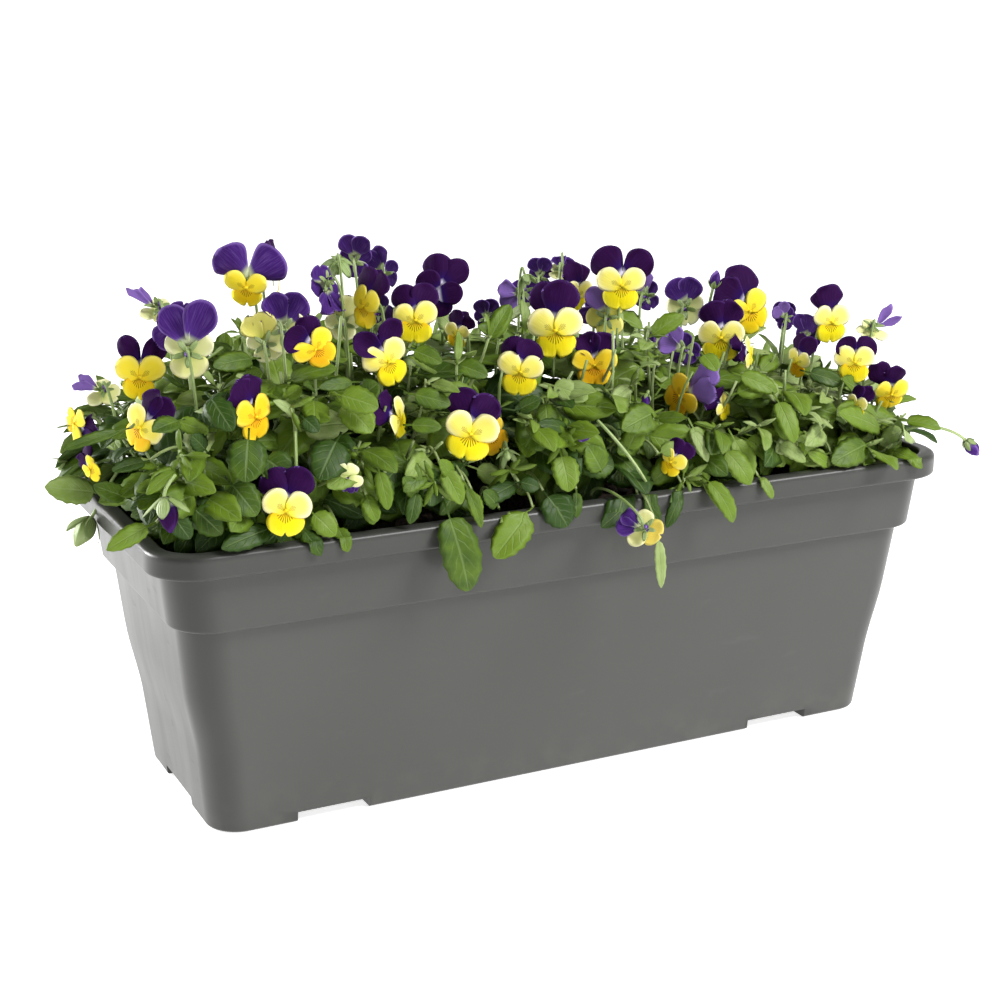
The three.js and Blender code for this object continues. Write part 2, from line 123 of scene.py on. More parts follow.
# %% Two-sided sheets
def sheets(tops, thickness, uv, tone, kinds):
    """Thin closed sheets under grids of points, shape (sheet, row, column, 3). Each underside is
    its top moved against the normal by the thickness, and both meet at the border."""
    count, rows, columns, _ = tops.shape
    normal = unit(np.cross(np.gradient(tops, axis=2), np.gradient(tops, axis=1)))
    thick = np.broadcast_to(np.asarray(thickness, float).reshape(-1, 1, 1, 1), (count, 1, 1, 1))
    inner = (tops - thick * normal)[:, 1:-1, 1:-1]
    points = np.concatenate([tops.reshape(count, -1, 3), inner.reshape(count, -1, 3)], axis=1)
    top = np.arange(rows * columns).reshape(rows, columns)
    under = top.copy()
    under[1:-1, 1:-1] = rows * columns + np.arange(inner[0, ..., 0].size).reshape(rows - 2, -1)
    quads = grid_quads(rows, columns)
    uv = np.broadcast_to(uv, (count, rows, columns, 2))
    uv = np.concatenate([uv.reshape(count, -1, 2), uv[:, 1:-1, 1:-1].reshape(count, -1, 2)], axis=1)
    size = points.shape[1]
    groups = [
        (repeated(quads, size, count), kinds[0]),
        (repeated(under.ravel()[quads][:, ::-1], size, count), kinds[1]),
    ]
    tones = np.repeat(np.broadcast_to(tone, (count,)), size)
    return points.reshape(-1, 3), groups, uv.reshape(-1, 2), tones


# %% Closed skins
def skins(rings, tone=0.0, kind=0):
    """Closed skins through stacks of rings, shape (skin, ring, point, 3). Rings run counter-
    clockwise seen from the end that the stack grows to, and a fan of faces shuts each end."""
    count, rows, columns, _ = rings.shape
    ends = rings[:, [0, -1]].mean(axis=2)
    points = np.concatenate([rings.reshape(count, -1, 3), ends], axis=1)
    j = np.arange(columns)
    k = (j + 1) % columns
    last = (rows - 1) * columns
    hub = np.full(columns, rows * columns)
    none = np.full(columns, -1)
    faces = np.concatenate([
        grid_quads(rows, columns, wrap=True),
        np.stack([hub, k, j, none], axis=1),
        np.stack([hub + 1, last + j, last + k, none], axis=1),
    ])
    around, along = np.meshgrid(j / columns, np.linspace(0, 1, rows))
    uv = np.stack([around, along], axis=-1).reshape(-1, 2)
    uv = np.concatenate([uv, [[0.5, 0.0], [0.5, 1.0]]])
    size = points.shape[1]
    tones = np.repeat(np.broadcast_to(tone, (count,)), size)
    groups = [(repeated(faces, size, count), kind)]
    return points.reshape(-1, 3), groups, np.tile(uv, (count, 1)), tones


def tubes(paths, radii, across, sides=6, tone=0.0, kind=0):
    """Round stems along paths, shape (stem, point, 3), that each lie in a plane whose normal is
    `across`. A ring is a circle in the plane of `across` and of its product with the tangent."""
    tangent = unit(np.gradient(paths, axis=1))
    side = np.broadcast_to(unit(across)[:, None, :], paths.shape)
    lift = unit(np.cross(tangent, side))
    angle = np.linspace(0, 2 * np.pi, sides, endpoint=False)
    circle = side[:, :, None] * np.cos(angle)[:, None] + lift[:, :, None] * np.sin(angle)[:, None]
    return skins(paths[:, :, None] + circle * np.asarray(radii)[..., None, None], tone, kind)


def ball_rings(rings, points, pole):
    """Rings on a ball of radius 1, from `pole` radians off its lower pole to as much off its
    upper one."""
    phi = np.linspace(pole, np.pi - pole, rings)[:, None]
    angle = np.linspace(0, 2 * np.pi, points, endpoint=False)
    ball = [np.sin(phi) * np.cos(angle), np.sin(phi) * np.sin(angle), -np.cos(phi) + 0 * angle]
    return np.stack(ball, axis=-1)


# %% Pieces
def build_piece(name, patches, finishes, stands_for=()):
    """One object from patches. It rides on the body, and stands for the
    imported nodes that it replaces. A face is four point numbers, or three and a -1."""
    starts = np.cumsum([0] + [len(patch[0]) for patch in patches])
    groups = [(f, k, s) for patch, s in zip(patches, starts) for f, k in patch[1]]
    faces = np.concatenate([np.where(f < 0, -1, f + s) for f, _, s in groups])
    kinds = np.concatenate([np.full(len(f), k) for f, k, _ in groups])
    corners = faces[faces >= 0]
    counts = (faces >= 0).sum(axis=1)
    points = np.concatenate([patch[0] for patch in patches]) * MM
    mesh = bpy.data.meshes.new(name)
    mesh.vertices.add(len(points))
    mesh.vertices.foreach_set("co", points.ravel())
    mesh.loops.add(len(corners))
    mesh.loops.foreach_set("vertex_index", corners)
    mesh.polygons.add(len(faces))
    mesh.polygons.foreach_set("loop_start", np.cumsum(counts) - counts)
    mesh.polygons.foreach_set("material_index", kinds)
    mesh.polygons.foreach_set("use_smooth", np.ones(len(faces), bool))
    mesh.update(calc_edges=True)
    uv = np.concatenate([patch[2] for patch in patches])[corners]
    mesh.uv_layers.new(name="surface").data.foreach_set("uv", uv.ravel())
    tone = np.concatenate([patch[3] for patch in patches])
    mesh.attributes.new("tone", "FLOAT", "POINT").data.foreach_set("value", tone)
    mesh.validate()
    for finish in finishes:
        mesh.materials.append(finish)
    piece = bpy.data.objects.new(name, mesh)
    scene.collection.objects.link(piece)
    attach(piece, "root")
    if stands_for:
        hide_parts(*stands_for)
    return piece

# %% [markdown]
# ## Finishes
# Each material is a small network of nodes. The helper below wires one node a line, so that a
# finish reads like a recipe. Patterns come from the point's place on the object, from the
# sheet's own UV map, or from its tone.

# %% A recipe for wiring nodes
class Finish:
    """A material, its Principled shader, and one short method for each kind of node."""

    def __init__(self, name, roughness, **constants):
        self.material = bpy.data.materials.new(name)
        self.material.use_nodes = True
        self.tree = self.material.node_tree
        self.shader = next(n for n in self.tree.nodes if n.type == "BSDF_PRINCIPLED")
        self.shader.inputs["Roughness"].default_value = roughness
        for socket, value in constants.items():
            self.shader.inputs[socket.replace("_", " ")].default_value = value

    def node(self, kind, feeds=(), **settings):
        """A node with its settings, its inputs fed by number or by name."""
        made = self.tree.nodes.new("ShaderNode" + kind)
        for key, value in settings.items():
            setattr(made, key, value)
        for key, value in dict(feeds).items():
            self.feed(made.inputs[key], value)
        return made

    def feed(self, socket, value):
        """Links another node's output to the socket, or sets a constant on it."""
        if isinstance(value, bpy.types.NodeSocket):
            self.tree.links.new(value, socket)
        elif socket.type == "RGBA":
            socket.default_value = (*value, 1.0)
        else:
            socket.default_value = value

    def math(self, operation, a, b=0.0, c=0.0):
        """One sum, product or other operation on up to three values."""
        return self.node("Math", {0: a, 1: b, 2: c}, operation=operation).outputs[0]

    def step(self, value, low, high, start=0.0, end=1.0):
        """A smooth step from `start` to `end` while `value` goes from `low` to `high`."""
        feeds = {0: value, 1: low, 2: high, 3: start, 4: end}
        return self.node("MapRange", feeds, interpolation_type="SMOOTHSTEP").outputs[0]

    def mix(self, share, a, b, how="MIX"):
        """Colour `a` where the share is 0, and `b` where it is 1."""
        feeds = {0: share, 6: a, 7: b}
        return self.node("Mix", feeds, data_type="RGBA", blend_type=how).outputs[2]

    def place(self, stretch=(1, 1, 1)):
        """Object coordinates in metres, stretched."""
        where = self.node("TexCoord").outputs["Object"]
        return self.node("Mapping", {"Vector": where, "Scale": stretch}).outputs[0]

    def noise(self, scale, detail=3.0, where=None, rough=0.5):
        """A cloudy pattern between 0 and 1, with about `scale` blobs a metre, or a unit of `where`."""
        feeds = {"Vector": where or self.place(), "Scale": scale, "Detail": detail}
        return self.node("TexNoise", {**feeds, "Roughness": rough}).outputs[0]

    def surface(self):
        """The sheet's own u and v."""
        uv = self.node("UVMap", uv_map="surface").outputs[0]
        parts = self.node("SeparateXYZ", {0: uv})
        return parts.outputs[0], parts.outputs[1]

    def border(self, u, v):
        """The squared distance from a petal's middle: 0 there, and 1 round its border."""
        p, q = self.math("MULTIPLY_ADD", u, 2.0, -1.0), self.math("MULTIPLY_ADD", v, 2.0, -1.0)
        return self.math("MULTIPLY_ADD", p, p, self.math("MULTIPLY", q, q))

    def tone(self):
        """The number that each leaf, petal or point carries."""
        return self.node("Attribute", attribute_name="tone").outputs["Fac"]

    def bump(self, height, depth, strength=1.0):
        """Shades the surface as if it rose by the height times `depth` metres."""
        feeds = {"Height": height, "Distance": depth, "Strength": strength}
        self.feed(self.shader.inputs["Normal"], self.node("Bump", feeds).outputs[0])

    def done(self, colour=None, roughness=None):
        """Feeds the colour and the roughness, and returns the material."""
        if colour is not None:
            self.feed(self.shader.inputs["Base Color"], colour)
        if roughness is not None:
            self.feed(self.shader.inputs["Roughness"], roughness)
        return self.material


# %% [markdown]
# ### Moulded plastic
# The trough is injection-moulded polypropylene in a warm mid grey. It is a little glossy. The
# recipe gives it the fine orange peel of the mould, slow waves where the sheet shrank as it
# cooled, faint upright drag marks, small scuffs, and a dusting of soil near the ground. The rim
# and the collar are darkened with painted shade, and the upright corners with a painted dark
# reflection. The tone is 1 on a corner.

# %% Grey plastic
# Heights in metres over which the painted shade on the collar and on the rim sets in.
COLLAR_SHADE_EDGE = (0.124, 0.1255)
RIM_SHADE_EDGE = (0.1565, 0.1580)


def grey_plastic():
    """Two greys mixed by a slow noise. Scuffs lighten them where a scuff noise and a drag noise are
    both high. Painted shade darkens the collar and the rim by height, a painted dark reflection
    darkens the upright corners by tone, and dust browns the lowest 35 mm."""
    f = Finish("grey plastic", 0.33, Specular_IOR_Level=0.3)
    slow = f.noise(9.0, 2.0)
    drag = f.noise(26.0, 4.0, f.place((1.0, 1.0, 0.12)), 0.6)
    scuff = f.noise(34.0, 6.0, f.place((1.0, 1.0, 2.6)), 0.62)
    speck = f.noise(900.0, 2.0)
    marks = f.math("MULTIPLY", f.step(scuff, 0.60, 0.72), f.step(drag, 0.42, 0.62))
    colour = f.mix(slow, (0.053, 0.054, 0.049), (0.065, 0.066, 0.061))
    colour = f.mix(f.math("MULTIPLY", marks, 0.07), colour, (0.20, 0.20, 0.19))
    height = f.node("SeparateXYZ", {0: f.place()}).outputs[2]
    # Painted shade: the collar and the rim turn darker by height.
    collar = f.step(height, *COLLAR_SHADE_EDGE, 0.0, 0.12)
    rim = f.step(height, *RIM_SHADE_EDGE, 0.0, 0.28)
    # The darkening mixed in here is painted: a dark reflection down the upright corners by tone, and shade on
    # the collar and the rim.
    thick = f.math("MULTIPLY_ADD", f.tone(), 0.60, f.math("ADD", collar, rim))
    colour = f.mix(f.math("MINIMUM", thick, 0.8), colour, (0.020, 0.020, 0.018))
    dust = f.math("MULTIPLY", f.step(height, 0.035, 0.0), f.step(f.noise(60.0, 5.0), 0.42, 0.7))
    colour = f.mix(f.math("MULTIPLY", dust, 0.10), colour, (0.16, 0.15, 0.13))
    rough = f.math("MULTIPLY_ADD", marks, 0.16, f.step(drag, 0.3, 0.7, 0.28, 0.38))
    relief = f.math("MULTIPLY_ADD", slow, 1.0, f.math("MULTIPLY", drag, 0.05))
    relief = f.math("MULTIPLY_ADD", speck, 0.012, relief)
    f.bump(relief, 0.0016, 0.55)
    return f.done(colour, rough)


# %% [markdown]
# ### Potting soil
# Peat and bark compost is nearly black where it is damp, and browner on the dry crumbs.

# %% Potting soil
def potting_soil():
    """Black to brown by a coarse noise, and light brown where a fine noise is highest."""
    f = Finish("potting soil", 0.95)
    coarse = f.noise(150.0, 6.0, rough=0.7)
    fine = f.noise(700.0, 4.0, rough=0.7)
    colour = f.mix(f.step(coarse, 0.35, 0.65), (0.008, 0.005, 0.003), (0.045, 0.027, 0.016))
    colour = f.mix(f.step(fine, 0.62, 0.72), colour, (0.12, 0.078, 0.045))
    f.bump(f.math("MULTIPLY_ADD", fine, 0.4, coarse), 0.004, 0.9)
    return f.done(colour)


# %% [markdown]
# ### Leaves and stems
# A violet leaf is a slightly glossy mid green, darker between its veins, with a pale midrib and
# pale side veins that slant towards the tip. Its underside is paler and duller. The u of a leaf
# runs across it, with the midrib at a half, and v runs from its stalk to its tip.

# %% Leaf finish
def leaf_finish(name, deep, fresh, pale, vein, roughness, vein_share):
    """Colour from `deep` through `fresh` to `pale` by the leaf's tone and a noise, veined with
    `vein`."""
    f = Finish(name, roughness, Specular_IOR_Level=0.24)
    u, v = f.surface()
    aside = f.math("ABSOLUTE", f.math("MULTIPLY_ADD", u, 2.0, -1.0))
    wander = f.math("MULTIPLY_ADD", f.noise(190.0, 3.0), 0.5, -0.25)
    slant = f.math("MULTIPLY_ADD", aside, -1.9, f.math("MULTIPLY_ADD", v, 8.5, wander))
    off = f.math("ABSOLUTE", f.math("SUBTRACT", f.math("FRACT", slant), 0.5))
    side = f.math("MULTIPLY", f.step(off, 0.13, 0.0), f.step(aside, 1.0, 0.35))
    rib = f.step(aside, 0.10, 0.02)
    veins = f.math("MAXIMUM", f.math("MULTIPLY", side, 0.55), rib)
    patch = f.math("MULTIPLY_ADD", f.noise(120.0, 3.0), 0.5, -0.25)
    share = f.math("ADD", f.tone(), patch)
    colour = f.mix(f.step(share, 0.0, 0.62), deep, fresh)
    colour = f.mix(f.step(share, 0.55, 1.1), colour, pale)
    colour = f.mix(f.math("MULTIPLY", veins, vein_share), colour, vein)
    puffed = f.math("MULTIPLY_ADD", f.noise(900.0, 2.0), 0.25, f.math("MULTIPLY", veins, -1.0))
    f.bump(puffed, 0.0005, 0.6)
    rough = f.math("MULTIPLY_ADD", f.noise(300.0, 2.0), 0.2, roughness - 0.1)
    return f.done(colour, rough)


def stem_finish():
    """Pale green stems, flushed with brown in places, with fine lengthwise ridges."""
    f = Finish("stem", 0.5)
    blotch = f.noise(60.0, 4.0)
    colour = f.mix(f.step(blotch, 0.35, 0.7), (0.22, 0.32, 0.09), (0.36, 0.46, 0.19))
    colour = f.mix(f.math("MULTIPLY", f.tone(), 0.6), colour, (0.12, 0.07, 0.03))
    ridge = f.math("SINE", f.math("MULTIPLY", f.surface()[0], 37.7))
    f.bump(ridge, 0.0002, 0.6)
    return f.done(colour)


# %% [markdown]
# ### Petals
# Upper petals are purple-black velvet in front, bluer near the middle, and lighter violet behind.
# Side petals go from cream at the rim to yellow at the eye. The lower petal is a strong yellow,
# and warmer in its heart. Dark honey guides run out of the eye on the side and lower petals.
# The u of a petal runs across it, and v runs from its claw at the eye to its rim. The tone of a
# yellow petal goes from lemon at 0, through deep yellow at a half, to amber at 1.

# %% Petal finishes
def velvet_petal(name, heart, body, rim, throat):
    """Dark in the body and lighter at the rim, with fine streaks and a pale spot at the claw."""
    f = Finish(name, 0.7, Specular_IOR_Level=0.05)
    u, v = f.surface()
    streak = f.node("CombineXYZ", {0: f.math("MULTIPLY", u, 34.0), 1: f.math("MULTIPLY", v, 2.5)})
    streaks = f.noise(1.0, 3.0, streak.outputs[0])
    colour = f.mix(f.step(v, 0.05, 0.55), heart, body)
    colour = f.mix(f.step(f.tone(), 0.75, 1.0, 0.0, 0.65), colour, rim)
    edge = f.math("MULTIPLY", f.step(f.border(u, v), 0.70, 1.0), f.math("ADD", 0.35, f.tone()))
    colour = f.mix(f.math("MINIMUM", edge, 1.0), colour, rim)
    colour = f.mix(f.step(streaks, 0.45, 0.75, 0.0, 0.22), colour, rim)
    colour = f.mix(f.step(v, 0.26, 0.10), colour, throat)
    f.bump(streaks, 0.0004, 0.5)
    return f.done(colour)


def honey_guides(f, u, v, fan, reach):
    """Narrow dark lines that fan out of the eye, up to `fan` radians to each side of the middle
    and as far as `reach` of the petal's length."""
    across = f.math("MULTIPLY_ADD", u, 1.6, -0.8)
    wander = f.math("MULTIPLY_ADD", f.noise(260.0, 2.0), 0.5, 0.25)
    angle = f.math("ARCTAN2", across, f.math("MAXIMUM", v, 0.001))
    far = f.math("SQRT", f.math("MULTIPLY_ADD", across, across, f.math("MULTIPLY", v, v)))
    fans = f.math("FRACT", f.math("MULTIPLY_ADD", angle, 4.2, wander))
    off = f.math("ABSOLUTE", f.math("SUBTRACT", fans, 0.5))
    wide = f.math("ABSOLUTE", angle)
    end = f.math("MULTIPLY_ADD", wide, -0.10, reach)
    lines = f.math("MULTIPLY", f.step(off, 0.24, 0.10), f.step(f.math("SUBTRACT", far, end), 0.03, -0.03))
    lines = f.math("MULTIPLY", lines, f.step(wide, fan + 0.1, fan - 0.1))
    return f.math("MULTIPLY", lines, f.step(far, 0.07, 0.13))


def yellow_petal(name, eye, body, rim, fan, reach):
    """Eye, body and rim each give three colours, for tones 0, a half and 1. A `reach` of 0 leaves
    the honey guides out."""
    f = Finish(name, 0.6, Specular_IOR_Level=0.12)
    u, v = f.surface()
    tone = f.tone()

    def toned(colours):
        """One of the three colours by the tone, blended between them."""
        first = f.mix(f.step(tone, 0.0, 0.5), colours[0], colours[1])
        return f.mix(f.step(tone, 0.5, 1.0), first, colours[2])

    colour = f.mix(f.step(v, 0.10, 0.42), toned(eye), toned(body))
    outer = f.math("MULTIPLY", f.step(f.border(u, v), 0.15, 0.95), f.step(v, 0.15, 0.55))
    colour = f.mix(outer, colour, toned(rim))
    if reach:
        guides = honey_guides(f, u, v, fan, reach)
        colour = f.mix(f.math("MULTIPLY", guides, 0.9), colour, (0.055, 0.018, 0.002))
    crease = f.node("CombineXYZ", {0: f.math("MULTIPLY", u, 22.0), 1: f.math("MULTIPLY", v, 2.0)})
    f.bump(f.noise(1.0, 3.0, crease.outputs[0]), 0.0005, 0.45)
    return f.done(colour)


# %% All finishes
PLASTIC = grey_plastic()
SOIL = potting_soil()
LEAF_TOP = leaf_finish(
    "leaf", (0.018, 0.048, 0.002), (0.110, 0.182, 0.010), (0.29, 0.37, 0.14), (0.30, 0.40, 0.16),
    roughness=0.50, vein_share=0.19,
)
LEAF_BACK = leaf_finish(
    "leaf back", (0.06, 0.11, 0.02), (0.17, 0.25, 0.05), (0.28, 0.38, 0.13), (0.32, 0.40, 0.15),
    roughness=0.65, vein_share=0.35,
)
STEM = stem_finish()
VELVET = velvet_petal(
    "upper petal",
    heart=(0.016, 0.005, 0.105), body=(0.020, 0.002, 0.036),
    rim=(0.050, 0.015, 0.100), throat=(0.62, 0.58, 0.72),
)
VIOLET = velvet_petal(
    "upper petal back",
    heart=(0.068, 0.026, 0.19), body=(0.044, 0.012, 0.125),
    rim=(0.235, 0.140, 0.43), throat=(0.45, 0.50, 0.30),
)
SIDE = yellow_petal(
    "side petal",
    [(0.84, 0.70, 0.04), (0.82, 0.58, 0.012), (0.80, 0.38, 0.008)],
    [(0.82, 0.73, 0.14), (0.80, 0.63, 0.02), (0.78, 0.44, 0.012)],
    [(0.86, 0.80, 0.44), (0.81, 0.69, 0.09), (0.77, 0.55, 0.06)],
    fan=0.55, reach=0.42,
)
LOWER = yellow_petal(
    "lower petal",
    [(0.84, 0.56, 0.008), (0.82, 0.45, 0.008), (0.78, 0.31, 0.004)],
    [(0.82, 0.69, 0.006), (0.80, 0.55, 0.005), (0.78, 0.40, 0.005)],
    [(0.84, 0.74, 0.04), (0.80, 0.66, 0.03), (0.78, 0.54, 0.02)],
    fan=1.15, reach=0.50,
)
PALE = yellow_petal(
    "petal back",
    [(0.50, 0.57, 0.18), (0.52, 0.53, 0.09), (0.54, 0.44, 0.08)],
    [(0.70, 0.72, 0.32), (0.70, 0.65, 0.13), (0.70, 0.50, 0.08)],
    [(0.80, 0.80, 0.50), (0.76, 0.70, 0.19), (0.72, 0.58, 0.12)],
    fan=0.0, reach=0.0,
)
print("made", len(bpy.data.materials), "materials")

# %% [markdown]
# ## Stage
# The object stands on a plain white floor under soft light: a big lamp in front, to the right and
# above, a second from behind on the left that brightens the left end, and an even white surround.

# %% Floor and light
# Metres: the radius of the flat floor, that of the curve round it, the top of the wall, and how
# far the floor lies under the feet.
FLAT_RADIUS, CURVE_RADIUS, STAGE_TOP, STAGE_DROP = 13, 1, 4.8, 0.0005
STAGE_GLOW = 0.76


def white_floor():
    """A round floor, much wider than the view, that curves up into a low wall. It glows a little
    so that it stays plain white from every side."""
    f = Finish("white floor", 0.9)
    f.shader.inputs["Emission Color"].default_value = (1, 1, 1, 1)
    f.shader.inputs["Emission Strength"].default_value = STAGE_GLOW
    sides, sweep = 96, np.linspace(0, np.pi / 2, 7)
    angle = np.linspace(0, 2 * np.pi, sides, endpoint=False)
    radius = np.append(FLAT_RADIUS + CURVE_RADIUS * np.sin(sweep), FLAT_RADIUS + CURVE_RADIUS)[:, None]
    height = np.append(CURVE_RADIUS * (1 - np.cos(sweep)), STAGE_TOP)[:, None] - STAGE_DROP
    rings = np.stack([radius * np.cos(angle), radius * np.sin(angle), height + 0 * angle], axis=-1)
    mesh = bpy.data.meshes.new("floor")
    wall = grid_quads(len(radius), sides, wrap=True)[:, ::-1].tolist()
    mesh.from_pydata(rings.reshape(-1, 3).tolist(), [], [list(range(sides))] + wall)
    mesh.materials.append(f.done(f.mix(f.noise(2.0), (0.84, 0.84, 0.84), (0.86, 0.86, 0.86))))
    floor = bpy.data.objects.new("floor", mesh)
    scene.collection.objects.link(floor)


def soft_lamp(name, place, target, size, power):
    """A round lamp, `size` mm across, that shines on the target."""
    data = bpy.data.lights.new(name, "AREA")
    data.shape, data.size, data.energy = "DISK", size * MM, power
    lamp = bpy.data.objects.new(name, data)
    scene.collection.objects.link(lamp)
    aim(lamp, place, target)


white_floor()
soft_lamp("key lamp", (1100, -1250, 1900), (0, 0, 150), 1100, 74)
soft_lamp("left lamp", (-1350, 1250, 650), (-250, 0, 100), 800, 44)
scene.world = bpy.data.worlds.new("surround")
scene.world.use_nodes = True
background = scene.world.node_tree.nodes["Background"]
background.inputs["Color"].default_value = (1.0, 1.0, 1.0, 1.0)
background.inputs["Strength"].default_value = 0.18
print("two lamps, a glowing floor and a white surround")

# %% [markdown]
# ## The trough
# The real trough is moulded in one shot: walls that lean out so that it slips off the mould, an
# upright collar that stiffens them, a rolled rim, and low feet with channels between them for
# drainage. Its section is a list of levels. At each level the outline is a rectangle with round
# corners, and each corner of the section gets a small radius of its own, as a mould has.

# %% Sizes of the trough
box_high = np.array(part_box("planter_box")[1]) / MM
HALF_X, HALF_Y, TOP = box_high
RIM_HEIGHT, BAND_HEIGHT = 13, 32.7  # the band is the upright collar under the rim
RIM_BOTTOM = TOP - RIM_HEIGHT
BAND_BOTTOM = RIM_BOTTOM - BAND_HEIGHT
WALL = 2.2
FLOOR = 8.2  # inside, above the channels
STEP_LOW, STEP_HIGH, STEP_DEPTH = 42.0, 86.0, 3.3  # the soft S in each end
RIM_CORNER, BAND_CORNER, WALL_CORNER = 28, 24.5, 23  # radii in plan
WALL_IN_X, WALL_IN_Y = 17.2, 14.7  # from the rim's outside to the wall's, at the top of the wall
WALL_LEAN_X, WALL_LEAN_Y, CORNER_TAPER = 0.1, 0.119, 0.03  # inwards for each mm down
BAND_IN_X, BAND_IN_Y = 8.5, 7.6  # from the rim's outside to the collar's, at its top
BAND_LEAN_X, BAND_LEAN_Y = 3.7, 2.1  # inwards over the whole collar
CHANNEL_X, CHANNEL_HALF, END_CHANNEL_HALF, CHANNEL_TOP = 148.5, 21.5, 24, 6
PAST_X, PAST_Y, PAST_Z = 260, 120, -5  # beyond the trough's outside
print("the trough is", [round(v, 1) for v in 2 * box_high[:2]], "mm and", round(TOP, 1), "high")

# %% Levels of the section
def smooth(value, low, high):
    """A smooth step from 0 at `low` to 1 at `high`."""
    t = np.clip((value - low) / (high - low), 0, 1)
    return t * t * (3 - 2 * t)


def wall_level(z, inset=0.0):
    """Half length, half width, corner radius and height of the leaning wall's outside at z."""
    rise = smooth(z, STEP_LOW, STEP_HIGH)
    below = BAND_BOTTOM - z
    half_x = HALF_X - WALL_IN_X - WALL_LEAN_X * below - STEP_DEPTH * (1 - rise)
    half_y = HALF_Y - WALL_IN_Y - WALL_LEAN_Y * below
    return [half_x - inset, half_y - inset, WALL_CORNER - CORNER_TAPER * below - inset, z]


def band_level(z, inset=0.0):
    """The upright collar, which leans out a little more at the ends than along the sides."""
    down = (RIM_BOTTOM - z) / BAND_HEIGHT
    half_x = HALF_X - BAND_IN_X - BAND_LEAN_X * down
    half_y = HALF_Y - BAND_IN_Y - BAND_LEAN_Y * down
    return [half_x - inset, half_y - inset, BAND_CORNER - inset, z]


def rim_level(z, inset=0.0):
    """The rim, whose outside is upright."""
    return [HALF_X - inset, HALF_Y - inset, RIM_CORNER - inset, z]


def softened(levels, radii, steps=4, support=0.5):
    """Rounds each corner of a section. The corner gives way to the curve that is drawn between
    a point before it and a point after it, each one radius away, and pulled to the corner. One
    more point on each side, a little further out, keeps the flats flat."""
    before, here, after = levels[:-2], levels[1:-1], levels[2:]

    def towards(other):
        """The way to a neighbour, one radius long, and the same a little longer."""
        gap = np.linalg.norm((other - here)[:, [1, 3]], axis=1, keepdims=True)
        reach = np.minimum(radii[:, None], 0.4 * gap)
        return (other - here) / gap * reach, (other - here) / gap * np.minimum(reach + support, 0.48 * gap)

    back, back_far = towards(before)
    front, front_far = towards(after)
    t = np.linspace(0, 1, steps + 1)[None, :, None]
    curve = here[:, None] + (1 - t) ** 2 * back[:, None] + t**2 * front[:, None]
    corners = np.concatenate([(here + back_far)[:, None], curve, (here + front_far)[:, None]], axis=1)
    plain = radii == 0
    rows = [c[:1] * 0 + h if p else c for c, h, p in zip(corners, here, plain)]
    return np.concatenate([levels[:1], *rows, levels[-1:]])


# %% Outline of a level
def outline_recipe(corner_steps, straight_x, straight_y):
    """Multipliers that turn half sizes and a corner radius into an outline: x is (half - radius)
    times the first plus radius times the third, and y uses the second and fourth."""
    along = lambda n: np.concatenate([[-0.985], np.linspace(-1, 1, n + 2)[1:-1], [0.985]])
    rows = []
    for turn, n in enumerate([straight_x, straight_y, straight_x, straight_y]):
        c, s = [(1, 0), (0, 1), (-1, 0), (0, -1)][turn]
        m = along(n)
        side = np.stack([m, -np.ones_like(m), 0 * m, -np.ones_like(m)], axis=1)
        phi = np.linspace(-np.pi / 2, 0, corner_steps + 1)
        arc = np.stack([np.ones_like(phi), -np.ones_like(phi), np.cos(phi), np.sin(phi)], axis=1)
        both = np.concatenate([side, arc])
        turned = [both[:, 0] * c - both[:, 1] * s, both[:, 0] * s + both[:, 1] * c]
        turned += [both[:, 2] * c - both[:, 3] * s, both[:, 2] * s + both[:, 3] * c]
        rows.append(np.stack(turned, axis=1))
    return np.concatenate(rows).T


def outlines(levels, recipe):
    """Rings of points, one for each level."""
    half_x, half_y, radius, z = (levels[:, i, None] for i in range(4))
    radius = np.maximum(radius, 0.5)
    x = (half_x - radius) * recipe[0] + radius * recipe[2]
    y = (half_y - radius) * recipe[1] + radius * recipe[3]
    return np.stack([x, y, np.broadcast_to(z, x.shape)], axis=-1)


# %% Section of the trough
WALL_HEIGHTS = [10.0, STEP_LOW, 48, 53, 58, 64, 70, 75, 80, STEP_HIGH, 104]


def trough_section():
    """From under the floor, up the outside, over the rim, and down the inside to the floor. The
    second number of each entry is the radius of the corner there."""
    outside = [(wall_level(0, 30), 0), (wall_level(0), 1.6)]
    outside += [(wall_level(z), 0) for z in WALL_HEIGHTS]
    outside += [(wall_level(BAND_BOTTOM), 1.2), (band_level(BAND_BOTTOM), 1.7)]
    outside += [(band_level(RIM_BOTTOM), 1.2), (rim_level(RIM_BOTTOM), 1.9)]
    outside += [(rim_level(TOP), 3.4), (rim_level(TOP, 9.6), 1.6)]
    inside = [(band_level(RIM_BOTTOM, WALL), 1.0), (band_level(BAND_BOTTOM + 2.4, WALL), 0.8)]
    inside += [(wall_level(BAND_BOTTOM + 1.9, WALL), 0.8)]
    inside += [(wall_level(z, WALL), 0) for z in WALL_HEIGHTS[:0:-1]]
    inside += [(wall_level(FLOOR, WALL), 2.0), (wall_level(FLOOR, 30), 0)]
    rows = outside + inside
    return softened(np.array([r[0] for r in rows]), np.array([r[1] for r in rows[1:-1]], float))


def bar(low, high):
    """A rectangular bar between two corners, as a ring stack."""
    x0, y0, z0 = low
    x1, y1, z1 = high
    ring = np.array([[x0, y0], [x1, y0], [x1, y1], [x0, y1]], float)
    lower, upper = np.full((4, 1), z0), np.full((4, 1), z1)
    return np.stack([np.hstack([ring, lower]), np.hstack([ring, upper])])[None]


